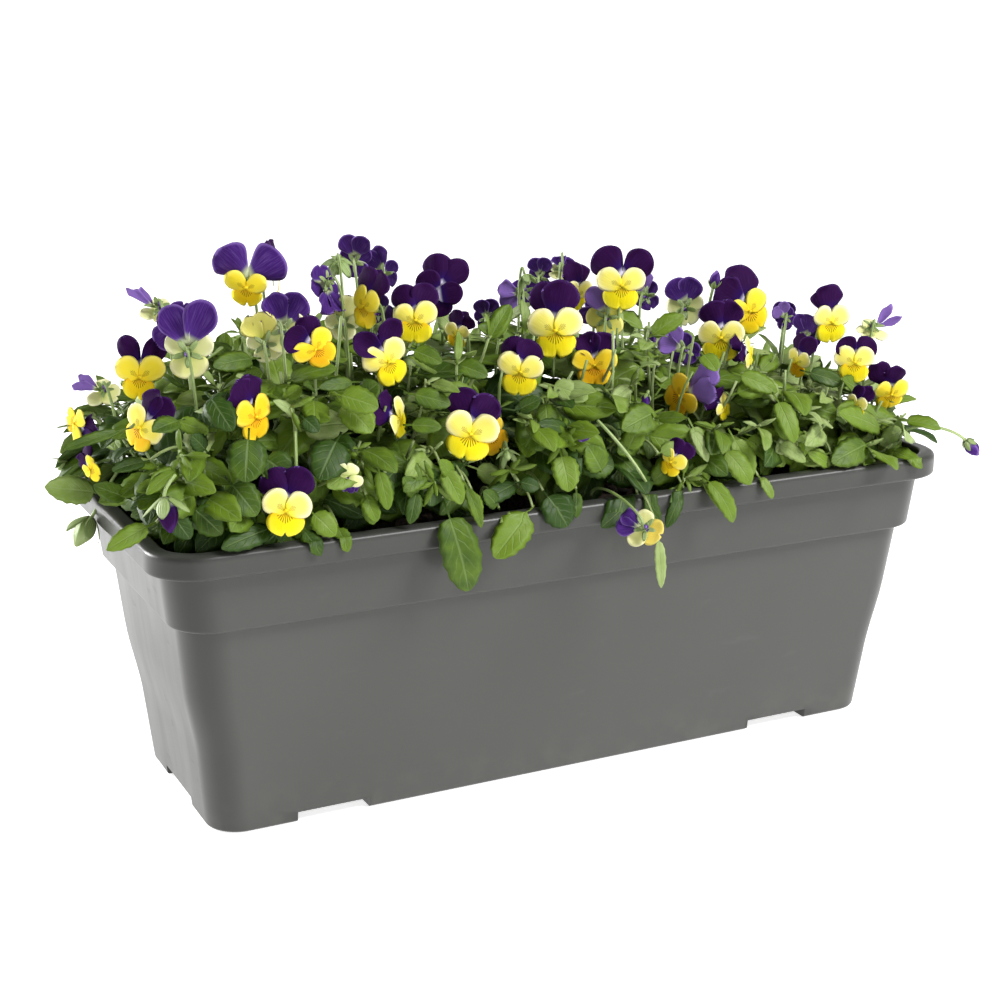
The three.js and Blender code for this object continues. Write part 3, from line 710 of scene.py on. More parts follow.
def cut(piece, patches):
    """Takes the patches' solids away from the piece with an exact boolean."""
    tool = build_piece("tool", patches, [])
    modifier = piece.modifiers.new("cut", "BOOLEAN")
    modifier.operation, modifier.solver, modifier.object = "DIFFERENCE", "EXACT", tool
    modifier.use_self = True
    graph = bpy.context.evaluated_depsgraph_get()
    mesh = bpy.data.meshes.new_from_object(piece.evaluated_get(graph))
    piece.modifiers.clear()
    piece.data = mesh
    bpy.data.objects.remove(tool)


def build_trough():
    """The shell, with a channel across it near each end, and one more from there to the end. Its
    tone comes from its normals: 1 on an upright corner, and 0 on a flat side. The plastic
    finish paints a dark reflection where the tone is high."""
    rings = outlines(trough_section(), outline_recipe(12, 26, 9))
    shell = skins(rings[None])
    trough = build_piece("planter_box_shell", [shell], [PLASTIC], ["planter_box"])
    channels = []
    for side in (-1, 1):
        x = side * CHANNEL_X
        low, high = (x - CHANNEL_HALF, -PAST_Y, PAST_Z), (x + CHANNEL_HALF, PAST_Y, CHANNEL_TOP)
        channels.append(skins(bar(low, high)))
        left, right = sorted((x, side * PAST_X))
        low, high = (left, -END_CHANNEL_HALF, PAST_Z), (right, END_CHANNEL_HALF, CHANNEL_TOP + 0.01)
        channels.append(skins(bar(low, high)))
    cut(trough, channels)
    count = len(trough.data.vertices)
    normals = np.empty(3 * count)
    trough.data.vertex_normals.foreach_get("vector", normals)
    across, along, _ = normals.reshape(-1, 3).T
    tone = trough.data.attributes.get("tone") or trough.data.attributes.new("tone", "FLOAT", "POINT")
    # The tone marks the upright corners for the plastic's painted dark reflection.
    tone.data.foreach_set("value", 2 * np.abs(across * along))
    trough.data.set_sharp_from_angle(angle=math.radians(35))
    return trough


trough = build_trough()
print("the trough has", len(trough.data.polygons), "faces")

# %% [markdown]
# ## Potting soil
# The soil is a closed body that fills the trough to 20 mm below its rim. Its top is a polar
# grid whose height is a sum of waves of many directions and lengths, which looks like crumbs
# pressed flat. Loose crumbs of bark are small lumps scattered over it.

# %% A repeatable roughness
SOIL_TOP = TOP - 20
SOIL_EDGE = TOP - 22  # where the soil meets the wall


def crumbly(x, y, waves=60, longest=70.0, shortest=5.0, seed=3):
    """A sum of cosine waves with random directions and phases. Short waves are lower than long
    ones, in proportion to their length to the power 0.7."""
    source = np.random.default_rng(seed)
    length = np.exp(source.uniform(np.log(shortest), np.log(longest), waves))
    angle, phase = source.uniform(0, 2 * np.pi, (2, waves))
    k = 2 * np.pi / length
    total = sum(
        (l / longest) ** 0.7 * np.cos(kk * (x * np.cos(a) + y * np.sin(a)) + p)
        for l, kk, a, p in zip(length, k, angle, phase)
    )
    return total / np.sqrt(waves)


def build_soil():
    """The body is a stack of outlines inside those of the trough. Its top is the last of them shrunk
    to the middle in 45 steps, and rises by 4.5 mm times the shrinkage to the power 0.4, plus the
    roughness. Crumbs are stretched and jittered balls."""
    recipe = outline_recipe(8, 34, 12)
    inset = WALL + 0.6
    sides = [wall_level(z, inset) for z in (FLOOR + 0.6, 40, 64, 86, 110, BAND_BOTTOM - 3)]
    sides += [band_level(BAND_BOTTOM + 4, inset), band_level(SOIL_EDGE, inset)]
    body = outlines(np.array(sides), recipe)
    edge = body[-1]
    shrink = np.linspace(1, 0.02, 46)[1:, None, None]
    level = np.broadcast_to(edge[None, :, 2:], (len(shrink), len(edge), 1))
    top = np.concatenate([edge[None, :, :2] * shrink, level], axis=2)
    top[..., 2] += 4.5 * (1 - shrink[..., 0]) ** 0.4 + 2.6 * crumbly(top[..., 0], top[..., 1])
    soil = skins(np.concatenate([body, top])[None])
    count = 300
    x, y = random.uniform(-222, 222, count), random.uniform(-68, 68, count)
    size = random.uniform(1.2, 3.6, count)
    ball = ball_rings(5, 7, 0.25)
    lumps = ball[None] * (size[:, None, None, None] * random.uniform(0.6, 1.5, (count, 1, 1, 3)))
    lumps = lumps * random.uniform(0.8, 1.2, (count, 5, 7, 1))
    height = SOIL_TOP + 3 + 2.6 * crumbly(x, y) + 0.4 * size
    lumps += np.stack([x, y, height], axis=-1)[:, None, None]
    build_piece("soil", [soil], [SOIL], ["potting_soil"])
    build_piece("soil_crumbs", [skins(lumps)], [SOIL], ["potting_soil"])


build_soil()
print("soil surface near", round(SOIL_TOP), "mm")

# %% [markdown]
# ## The crop
# Five plants grow into one another and make one cushion of leaves that fills the trough and
# spills over its rim. The cushion's top is a height for every place, and the shoots below and
# the flower stalks are both fitted to it.

# %% Outline of the crop
PLANTS = {1: (-192, 6), 2: (-98, -8), 3: (0, 6), 4: (97, -6), 5: (188, 4)}
# Height of the leaves along the middle of the trough, from the left end to the right.
CREST = [
    (-270, 178), (-254, 208), (-226, 232), (-186, 250), (-130, 257), (-70, 259), (-18, 256),
    (50, 251), (119, 243), (165, 230), (235, 203), (256, 188), (270, 174),
]
CROP_HALF, CROP_FOOT = 98, 170  # its half width, and the height of its edge


def crop_top(x, y):
    """Height of the leaves: the crest of the place along the trough, less a fall to the rim in
    proportion to the fourth power of the distance from the middle."""
    crest = np.interp(x, *zip(*CREST))
    fall = np.clip((np.abs(y + 2) / CROP_HALF) ** 4, 0, 1)
    return CROP_FOOT + (crest - CROP_FOOT) * (1 - fall)


def bezier(p0, p1, p2, p3, t):
    """Points of cubic curves, shape (curve, point, 3)."""
    t = np.asarray(t)[..., None]
    a, b, c, d = (1 - t) ** 3, 3 * t * (1 - t) ** 2, 3 * t * t * (1 - t), t**3
    return a * p0[:, None] + b * p1[:, None] + c * p2[:, None] + d * p3[:, None]

# %% [markdown]
# ## Flowers
# A horned violet has two upper petals, two side petals and one lower petal. Each petal is the
# disc that a square grid is bent into, stretched to its length and width, drawn in at the claw,
# cupped, bent back, and ruffled at its edge. The lower petal has a slit in its rim. Behind them
# are a short spur and five green sepals, and a hooked stalk carries the flower.

# %% A petal
def disc_grid(rows, columns, pinch=1.0):
    """A square grid bent into a disc: x is a times the root of (1 - b*b/2), and y is b times the
    root of (1 - a*a/2). Pinch above 1 packs the columns closer together at the middle."""
    a = np.linspace(-1, 1, columns)
    a = np.sign(a) * np.abs(a) ** pinch
    a, b = np.meshgrid(a, np.linspace(-1, 1, rows))
    return a * np.sqrt(1 - b * b / 2), b * np.sqrt(1 - a * a / 2)


def petal(
    length, half, turn, z, grid, claw=0.4, slit=0.0, tilt=0.0, cup=0.0, back=0.0, ruffle=0.0, phase=0.0
):
    """One petal's upper face in the flower's frame, which faces +Z with its top to +Y. `turn` is
    its direction from the top, clockwise, in radians. `claw` is its width at the eye as a share
    of its full width, and `slit` the depth of the slit. `tilt` raises it along its length, `cup`
    raises its sides, `back` bends its rim back, and `ruffle` waves its edge."""
    p, q = grid
    reach = (q + 1) / 2
    x = half * p * (claw + (1 - claw) * smooth(reach, 0.0, 0.72))
    y = length * reach - slit * np.exp(-((p / 0.08) ** 2)) * smooth(reach, 0.55, 1.0)
    edge = (p * p + q * q) ** 2
    around = np.arctan2(p, q + 0.3)
    wrinkle = np.sin(5 * around + phase) + 0.5 * np.sin(9 * around + 2 * phase)
    height = z + tilt * y + cup * half * p * p - back * length * reach**2 + ruffle * edge * wrinkle * reach
    c, s = math.cos(turn), math.sin(turn)
    top = np.stack([x * c + y * s, y * c - x * s, height], axis=-1)
    uv = np.stack([(p + 1) / 2, reach], axis=-1)
    return top[None], uv


# %% A flower in its own frame
UPPER, UPPER_BACK, SIDES, BACK, LIP, GREEN = range(6)
FLOWER_FINISHES = [VELVET, VIOLET, SIDE, PALE, LOWER, STEM]
WIDE = disc_grid(10, 11)
SLIT = disc_grid(12, 15, 1.7)
SMALL = disc_grid(7, 5)
SPUR = np.array([[0, -0.4, -1.5], [0, -1.2, -4], [0, -1.8, -7], [0, -0.6, -9.2]])
SPUR_RADII = np.array([[1.9, 1.8, 1.6, 1.4, 1.2, 0.9]])
# Kinds of flower, with the tones of their side petals and of the lower one.
KINDS = {
    "a": (0.06, 0.10),  # lemon
    "y": (0.42, 0.5),  # deep yellow
    "b": (0.42, 0.5),  # the same but smaller, under upper petals with violet fronts
    "m": (0.12, 0.85),  # lemon over amber
    "o": (0.80, 0.95),  # amber
    "v": (0.2, 0.2),  # violet side petals over a velvet one
    "d": (0.2, 0.2),  # velvet
    "c": (0.0, 0.0),  # cream, under upper petals with violet fronts
}
YELLOW_SCALE = {"b": 0.78}  # of the side petals and the lower one
SIDE_FACES = {"v": (UPPER_BACK, UPPER_BACK), "d": (UPPER, UPPER), "c": (BACK, BACK)}
LIP_FACES = {"v": (UPPER, UPPER_BACK), "d": (UPPER, UPPER), "c": (BACK, BACK)}
UPPER_FACES = {"c": (UPPER_BACK, BACK), "b": (UPPER_BACK, UPPER_BACK)}


def round_skin(middle, radii, tone, kind, rings=6, points=8):
    """An ellipsoid: rings at even angles from pole to pole."""
    return skins((ball_rings(rings, points, 0.15) * radii + middle)[None], tone, kind)


def flower_patches(kind, r, spread=0.46, wide=1.0, long=1.0):
    """Petals, throat, spur and sepals of one flower, varied a little by the random source `r`.
    The two upper petals stand `spread` radians to each side, and `wide` and `long` scale them. A
    capital letter makes them lilac."""
    vary = lambda mean, step: mean + step * r.normal()
    lilac = kind.isupper()
    kind = kind.lower()
    warmth, lip_warmth = (float(np.clip(t + 0.06 * r.normal(), 0, 1)) for t in KINDS[kind])
    scale = YELLOW_SCALE.get(kind, 1.0)
    light = 1.0 if lilac else float(np.clip(0.3 + 0.2 * r.normal(), 0, 0.7))
    upper_faces = (UPPER_BACK, UPPER_BACK) if lilac else UPPER_FACES.get(kind, (UPPER, UPPER_BACK))
    patches = []

    def add(top_uv, thickness, tone, kinds, lift=0.0):
        """Gives a petal its thickness, and moves it up the flower by `lift` mm."""
        patches.append(sheets(top_uv[0] + [0, lift, 0], thickness, top_uv[1], tone, kinds))

    for side in (-1, 1):
        upper = petal(
            long * vary(18.6, 0.8), wide * vary(9.4, 0.6), side * vary(spread, 0.06),
            -1.5 - 0.5 * (side > 0), WIDE, claw=0.45, tilt=vary(-0.12, 0.08), cup=vary(-0.14, 0.24),
            back=vary(0.12, 0.16), ruffle=vary(1.1, 0.35), phase=r.uniform(0, 6.3),
        )
        add(upper, 0.35, light, upper_faces, 4.3)
    for side in (-1, 1):
        wing = petal(
            scale * vary(14.4, 0.6), scale * vary(7.1, 0.4), side * vary(0.97, 0.09), 0.8, WIDE,
            claw=0.72, tilt=vary(-0.02, 0.05), cup=vary(-0.15, 0.10), back=vary(0.08, 0.06),
            ruffle=vary(0.4, 0.12), phase=r.uniform(0, 6.3),
        )
        add(wing, 0.3, warmth, SIDE_FACES.get(kind, (SIDES, BACK)), -0.4)
    lip = petal(
        scale * vary(13.2, 0.5), scale * vary(9.7, 0.5), math.pi + vary(0, 0.07), 0.1, SLIT,
        claw=1.12, slit=2.0, tilt=0.09, cup=vary(-0.12, 0.07), back=vary(0.16, 0.05),
        ruffle=vary(0.45, 0.15), phase=r.uniform(0, 6.3),
    )
    add(lip, 0.3, lip_warmth, LIP_FACES.get(kind, (LIP, BACK)), 0.6)
    throat = UPPER_BACK if kind in "vdc" else LIP
    patches.append(round_skin([0, 0.5, 1.1], [1.15, 0.9, 0.8], 0.65, throat))
    patches.append(round_skin([0, 0.4, -4.2], [2.4, 2.4, 2.8], 0.0, GREEN))
    spur = bezier(*SPUR[:, None], np.linspace(0, 1, SPUR_RADII.size))
    patches.append(tubes(spur, SPUR_RADII, np.array([[1.0, 0, 0]]), 8, 0.5, UPPER_BACK))
    for k in range(5):
        turn = math.radians(36 + 72 * k)
        blade = petal(
            vary(8.6, 0.7), 1.6, turn, -3.2, SMALL, claw=0.9, tilt=vary(-0.22, 0.12), cup=-0.4,
            back=-0.05,
        )
        add(blade, 0.35, 0.05, (GREEN, GREEN))
        ear = petal(3.4, 1.3, turn, -4.2, SMALL, claw=0.9, tilt=-1.0, cup=-0.3)
        add(ear, 0.35, 0.05, (GREEN, GREEN))
    return patches


# %% Standing the flowers
def standing(facing, looks_up, roll):
    """The turn of a flower: rolled about its own axis, tipped back to look up, then turned about
    the vertical. Facing 0 looks to the front, and -90 to the left end."""
    f, u, r = (math.radians(v) for v in (facing, 90 - looks_up, -roll))
    yaw = np.array([[math.cos(f), -math.sin(f), 0], [math.sin(f), math.cos(f), 0], [0, 0, 1]])
    tip = np.array([[1, 0, 0], [0, math.cos(u), -math.sin(u)], [0, math.sin(u), math.cos(u)]])
    spin = np.array([[math.cos(r), -math.sin(r), 0], [math.sin(r), math.cos(r), 0], [0, 0, 1]])
    return yaw @ tip @ spin


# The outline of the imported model's simple flower, in its own frame.
PACKED_UPPER = [(0, -2), (12.6, 1.6), (16.5, 12), (8.8, 18.6), (0, 14)]
PACKED_LOWER = [(0, 3), (9.3, 8.1), (14.5, 2), (11.1, -4.1), (5, -5), (7.4, -14), (0, -14)]


def packed_outline():
    """The corners of a packed flower: the end of its calyx, its upper plate, whose top leans
    forward by 8 degrees, and its lower plate. Both plates are mirrored and 1 mm thick."""
    lean = math.radians(8)
    points = [(0, 0, -6.5)]
    for x, y in PACKED_UPPER:
        points += [(s * x, y * math.cos(lean), y * math.sin(lean) - 1.3 + d) for s in (-1, 1) for d in (0, 1)]
    for x, y in PACKED_LOWER:
        points += [(s * x, y, d) for s in (-1, 1) for d in (0, 1)]
    return np.array(points, float)


def eye_of(node, turn, size):
    """The eye of a packed flower: the middle of its box, less the middle of its turned outline."""
    low, high = (np.array(corner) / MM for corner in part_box(node))
    turned = size * packed_outline() @ turn.T
    return (low + high) / 2 - (turned.min(axis=0) + turned.max(axis=0)) / 2


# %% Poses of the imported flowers
# Kind, facing, looks up, roll and size, and for some the stance and scale of the upper petals.
FLOWERS = [
    "y -15 5 5 1 0.62 0.75 1.15", "m -60 10 30 0.95", "y -75 0 110 0.8",
    "A 160 -50 70 0.75 0.3 0.6 0.95", "A 165 -60 50 0.85 0.3 0.5 1", "v 160 -10 165 0.85 0.5 1 1",
    "a 155 -20 0 1 0.5 1.05 1.35", "o 25 5 -5 1", "a -22 15 3 1.05", "b -30 -10 5 1.1 0.95 1.15 1.02",
    "y 70 0 10 0.95", "a 145 -20 0 0.95", "o -10 -10 -40 0.85", "v -150 -20 170 0.85", "v 150 0 0 0.75",
    "v 125 -10 30 0.75", "y -75 5 0 0.95", "v 110 0 60 0.7", "a 0 5 -22 1.05 0.62 0.85 1.1",
    "c -30 -20 178 0.65 0.2 0.6 0.8", "a 40 10 -45 0.85", "a -25 12 8 1.1 0.52 1 1.05",
    "a -25 10 0 0.95", "d -30 5 20 1.1", "m -60 -5 10 0.65", "o -5 10 -40 0.9",
    "a -25 10 6 1 0.46 0.9 0.9", "a -30 10 -4 1.25 0.28 1 1.08", "V 145 -30 110 0.75",
    "a 5 -15 10 0.85", "o -30 25 0 0.98", "m 140 -40 75 0.85 0.4 0.8 0.8",
    "a -28 10 3 1.1 0.8 1.15 1.1", "V 120 -10 35 0.75", "a 135 -15 10 0.9", "a -35 0 -3 1.1",
    "a 40 5 -55 0.75", "V 145 -10 60 0.75", "O -75 0 55 1", "a 25 0 -40 0.65", "y -60 10 20 0.65",
    "y -5 5 -28 1.15 0.5 1.15 1.1", "m -80 0 5 0.75", "a -10 5 0 1 0.06 1 1",
    "A 165 -60 -60 0.8 0.25 0.5 1.1", "a -35 10 3 0.95 0.75 0.95 0.85", "y -15 -20 -10 0.9",
]
# More open flowers behind these: x, y, z, then the same.
MORE_FLOWERS = [
    "-253 20 191 y -65 -9 -60 0.6", "8 60 247 v 144 0 0 0.6", "74 35 256 v 130 -9 160 0.7",
    "45 60 270 v 142 0 0 0.6", "54 50 274 a 142 -54 0 0.6", "70 20 249 Y 150 -15 25 0.9 0.15 0.9 1",
    "224 50 231 v 142 0 0 0.6", "215 10 225 v 103 0 0 0.8", "195 -70 200 a -78 0 0 0.6",
    "224 20 227 d 0 20 20 0.6", "218 40 234 V 150 -20 40 0.5", "151 -5 226 d 20 10 -60 0.55",
    "-165 -25 261 c 150 -10 20 0.8", "-115 -10 265 c 160 -20 0 0.75",
]


FLOWER_EYES, FLOWER_SIZES = [], []


def place_flower(name, kind, facing, looks_up, roll, size, *upper, eye=None, node=None):
    """Builds one flower and returns where its stalk joins it and the direction it faces."""
    turn = standing(facing, looks_up, roll)
    if node:
        eye = eye_of(node, turn, size)
    r = np.random.default_rng(sum(map(ord, name)) * 31 + int(name[-2:]))
    patches = [(size * p @ turn.T + eye, g, uv, tone) for p, g, uv, tone in flower_patches(kind, r, *upper)]
    build_piece(name, patches, FLOWER_FINISHES, [node] if node else ())
    FLOWER_EYES.append(eye)
    FLOWER_SIZES.append(size)
    return eye + size * turn @ np.array([0, 0.4, -5.4]), turn[:, 2]


def build_flowers():
    """One flower for each packed one, then the others. Returns where each one's stalk ends and the
    way it faces."""
    heads = []
    for i, line in enumerate(FLOWERS, start=1):
        kind, *numbers = line.split()
        node = f"flower_{i:02d}"
        heads.append(place_flower("bloom_" + node[-2:], kind, *map(float, numbers), node=node))
    for i, line in enumerate(MORE_FLOWERS, start=len(FLOWERS) + 1):
        x, y, z, kind, *numbers = line.split()
        eye = np.array([float(x), float(y), float(z)])
        heads.append(place_flower(f"bloom_{i:02d}", kind, *map(float, numbers), eye=eye))
    return heads


heads = build_flowers()
print(len(heads), "flowers")

# %% [markdown]
# ### Seed heads
# Where petals have dropped, the five sepals close round a swelling green pod, and the head still
# nods on its stalk.

# %% Seed heads
SEED_HEADS = [  # x, y, z, facing, looks up, size
    "60 60 276 150 -60 1.1", "-106 20 291 160 -55 1.35",
    "-260 60 183 -90 -40 0.9", "-50 -85 200 -20 -30 0.8", "28 45 271 20 -60 0.9",
]


def build_seed_heads():
    """A pod is an ellipsoid, and five sepals stand round it, 72 degrees apart. Returns where each
    stalk ends and the way the head faces."""
    patches, ends = [], []
    r = np.random.default_rng(7)
    for line in SEED_HEADS:
        x, y, z, facing, looks_up, size = map(float, line.split())
        eye, turn = np.array([x, y, z]), standing(facing, looks_up, 20 * r.normal())
        head = [round_skin([0, 0, -1.5], [2.7, 2.7, 4.2], 0.0, 0, 8, 10)]
        for k in range(5):
            blade = petal(
                9.5 + r.normal(), 2.3, math.radians(72 * k), -5.0, SMALL, claw=1.0,
                tilt=0.5 + 0.15 * r.normal(), cup=-0.5, back=-0.35,
            )
            head.append(sheets(blade[0], 0.4, blade[1], 0.0, (0, 0)))
        patches += [(size * p @ turn.T + eye, g, uv, tone) for p, g, uv, tone in head]
        ends.append((eye + size * turn @ np.array([0, 0, -5.6]), turn[:, 2]))
    build_piece("seed_heads", patches, [STEM])
    return ends


heads += build_seed_heads()
print(len(SEED_HEADS), "seed heads")

# %% [markdown]
# ## Leaves
# A violet leaf has a thin stalk and an ovate blade with shallow round teeth. It is one grid: two
# rows for the stalk, the rest for the blade, and five columns across. The blade folds up a
# little along its midrib, its margins wave, and the whole leaf arches over under its weight.

# %% One leaf shape for many leaves
def leaf_tops(
    base, heading, facing, stalk, length, half, bend, fold, wave, phase, blunt=0.55, rows=14, columns=5
):
    """Upper faces of leaves as grids. The midrib starts at `base` along `heading` and turns away
    from the side `facing` by up to `bend` radians, in proportion to the distance along it to
    the power 1.3. With s the distance along the blade, the half width is 1 - |2s^0.8 - 1|^2.2 to
    the power `blunt`, which is raised by a sixth of s to draw out the tip."""
    column = lambda values: np.broadcast_to(np.asarray(values, float), (len(base),))[:, None]
    stalk, length, half, bend, fold, wave, phase, blunt = map(
        column, (stalk, length, half, bend, fold, wave, phase, blunt)
    )
    heading = unit(heading)
    up = unit(facing - (facing * heading).sum(axis=1, keepdims=True) * heading)
    right = np.cross(heading, up)
    blade = 0.5 - 0.5 * np.cos(np.linspace(0, np.pi, rows - 2))
    along = np.concatenate([0 * stalk, 0.5 * stalk, stalk + length * blade], axis=1)
    share = along / along[:, -1:]
    angle = bend * share**1.3
    middle = 0.5 * (angle[:, 1:] + angle[:, :-1])
    stride = np.diff(along, axis=1)
    forward = np.concatenate([0 * stalk, np.cumsum(stride * np.cos(middle), axis=1)], axis=1)
    lower = np.concatenate([0 * stalk, np.cumsum(stride * np.sin(middle), axis=1)], axis=1)
    teeth = 1 + 0.05 * (-1.0) ** np.arange(rows - 2)
    blade_half = half * (1 - np.abs(2 * blade**0.8 - 1) ** 2.2) ** (blunt + blade / 6) * teeth
    width = np.concatenate([0.6 + 0 * stalk, 0.55 + 0 * stalk, np.maximum(blade_half, 0.5)], axis=1)
    t = np.linspace(-1, 1, columns)
    aside = width[:, :, None] * t * np.cos(fold)[:, :, None]
    ripple = wave[:, :, None] * np.sin(9.0 * share[:, :, None] + phase[:, :, None] + 1.3 * np.sign(t))
    rise = width[:, :, None] * (np.abs(t) * (np.sin(fold)[:, :, None] + ripple) - 0.10 * t**4)
    axis_up = np.sin(angle)[..., None] * heading[:, None] + np.cos(angle)[..., None] * up[:, None]
    spine = base[:, None] + forward[..., None] * heading[:, None] - lower[..., None] * up[:, None]
    sideways = aside[..., None] * right[:, None, None]
    points = spine[:, :, None] + sideways + rise[..., None] * axis_up[:, :, None]
    across, down = np.meshgrid(0.5 + 0.5 * t, np.linspace(0, 1, rows))
    return points, np.stack([across, down], axis=-1)


# %% Keeping clear of the trough
# Distances from the rim's outline: a low point between the first and the last of them is pushed
# past one of the two, and the middle one decides which. Points above RIM_LOW go over the rim.
RIM_OUT, RIM_MIDDLE, RIM_IN = 1.5, -5, -11
RIM_LOW = TOP - 5


def rim_gap(x, y, radius=RIM_CORNER):
    """Distance to the outline of the rim, negative inside it, and the direction out of it."""
    past_x, past_y = np.abs(x) - HALF_X + radius, np.abs(y) - HALF_Y + radius
    out_x, out_y = np.maximum(past_x, 0), np.maximum(past_y, 0)
    round_off = np.hypot(out_x, out_y)
    gap = round_off + np.minimum(np.maximum(past_x, past_y), 0) - radius
    corner = (past_x > 0) & (past_y > 0)
    safe = np.maximum(round_off, 1e-6)
    go_x = np.where(corner, out_x / safe, past_x > past_y) * np.sign(x)
    go_y = np.where(corner, out_y / safe, past_x <= past_y) * np.sign(y)
    return gap, go_x, go_y


def crosses_the_rim(points):
    """True for grids of points that pass through the outer side of the rim."""
    gap, _, _ = rim_gap(points[..., 0], points[..., 1])
    return ((gap > RIM_MIDDLE) & (gap < RIM_OUT) & (points[..., 2] < RIM_LOW)).any(axis=(1, 2))


def clear_of_trough(points):
    """Moves points out of the rim. A point over the rim is lifted onto it, a low one outside is
    pushed out, and a low one inside is pushed in and kept above the soil. A face between points
    on both sides can still cut a corner of the rim."""
    x, y, z = points[..., 0], points[..., 1], points[..., 2]
    gap, go_x, go_y = rim_gap(x, y)
    over = (gap > RIM_IN) & (gap < RIM_OUT) & (z < TOP + 1)
    low = over & (z < RIM_LOW)
    push_in = np.where(low & (gap <= RIM_MIDDLE), RIM_IN - 0.5 - gap, 0)
    move = np.where(low & (gap > RIM_MIDDLE), RIM_OUT - gap, push_in)
    z = np.where(over & ~low, TOP + 1, z)
    z = np.where(gap < RIM_IN + 1, np.maximum(z, SOIL_TOP + 6), z)
    return np.stack([x + move * go_x, y + move * go_y, z], axis=-1)


SHOWN = [(eye, 3 + 16 * size, -5) for eye, size in zip(FLOWER_EYES, FLOWER_SIZES)]


def covers(points):
    """True where a point lies in front of a flower or of a leaf that was placed one by one. Plants
    hold their flowers clear of their leaves. SHOWN holds places, radii and least distances."""
    hidden = np.zeros(points.shape[:-1], bool)
    for place, radius, least in SHOWN:
        sight = unit(CAMERA_PLACE - place)
        away = points - place
        near = away @ sight
        aside = np.linalg.norm(away - near[..., None] * sight, axis=-1)
        hidden |= (near > least) & (near < 60) & (aside < radius)
    return hidden


# %% [markdown]
# ## Leaves at the edge
# The largest old leaves stand low round the edge, where they lean and hang over the rim. They are
# placed one by one: where the stalk starts, where the tip is, half the width, how far the
# midrib bends in radians, and the tone from deep green at 0 to yellow green at 1.

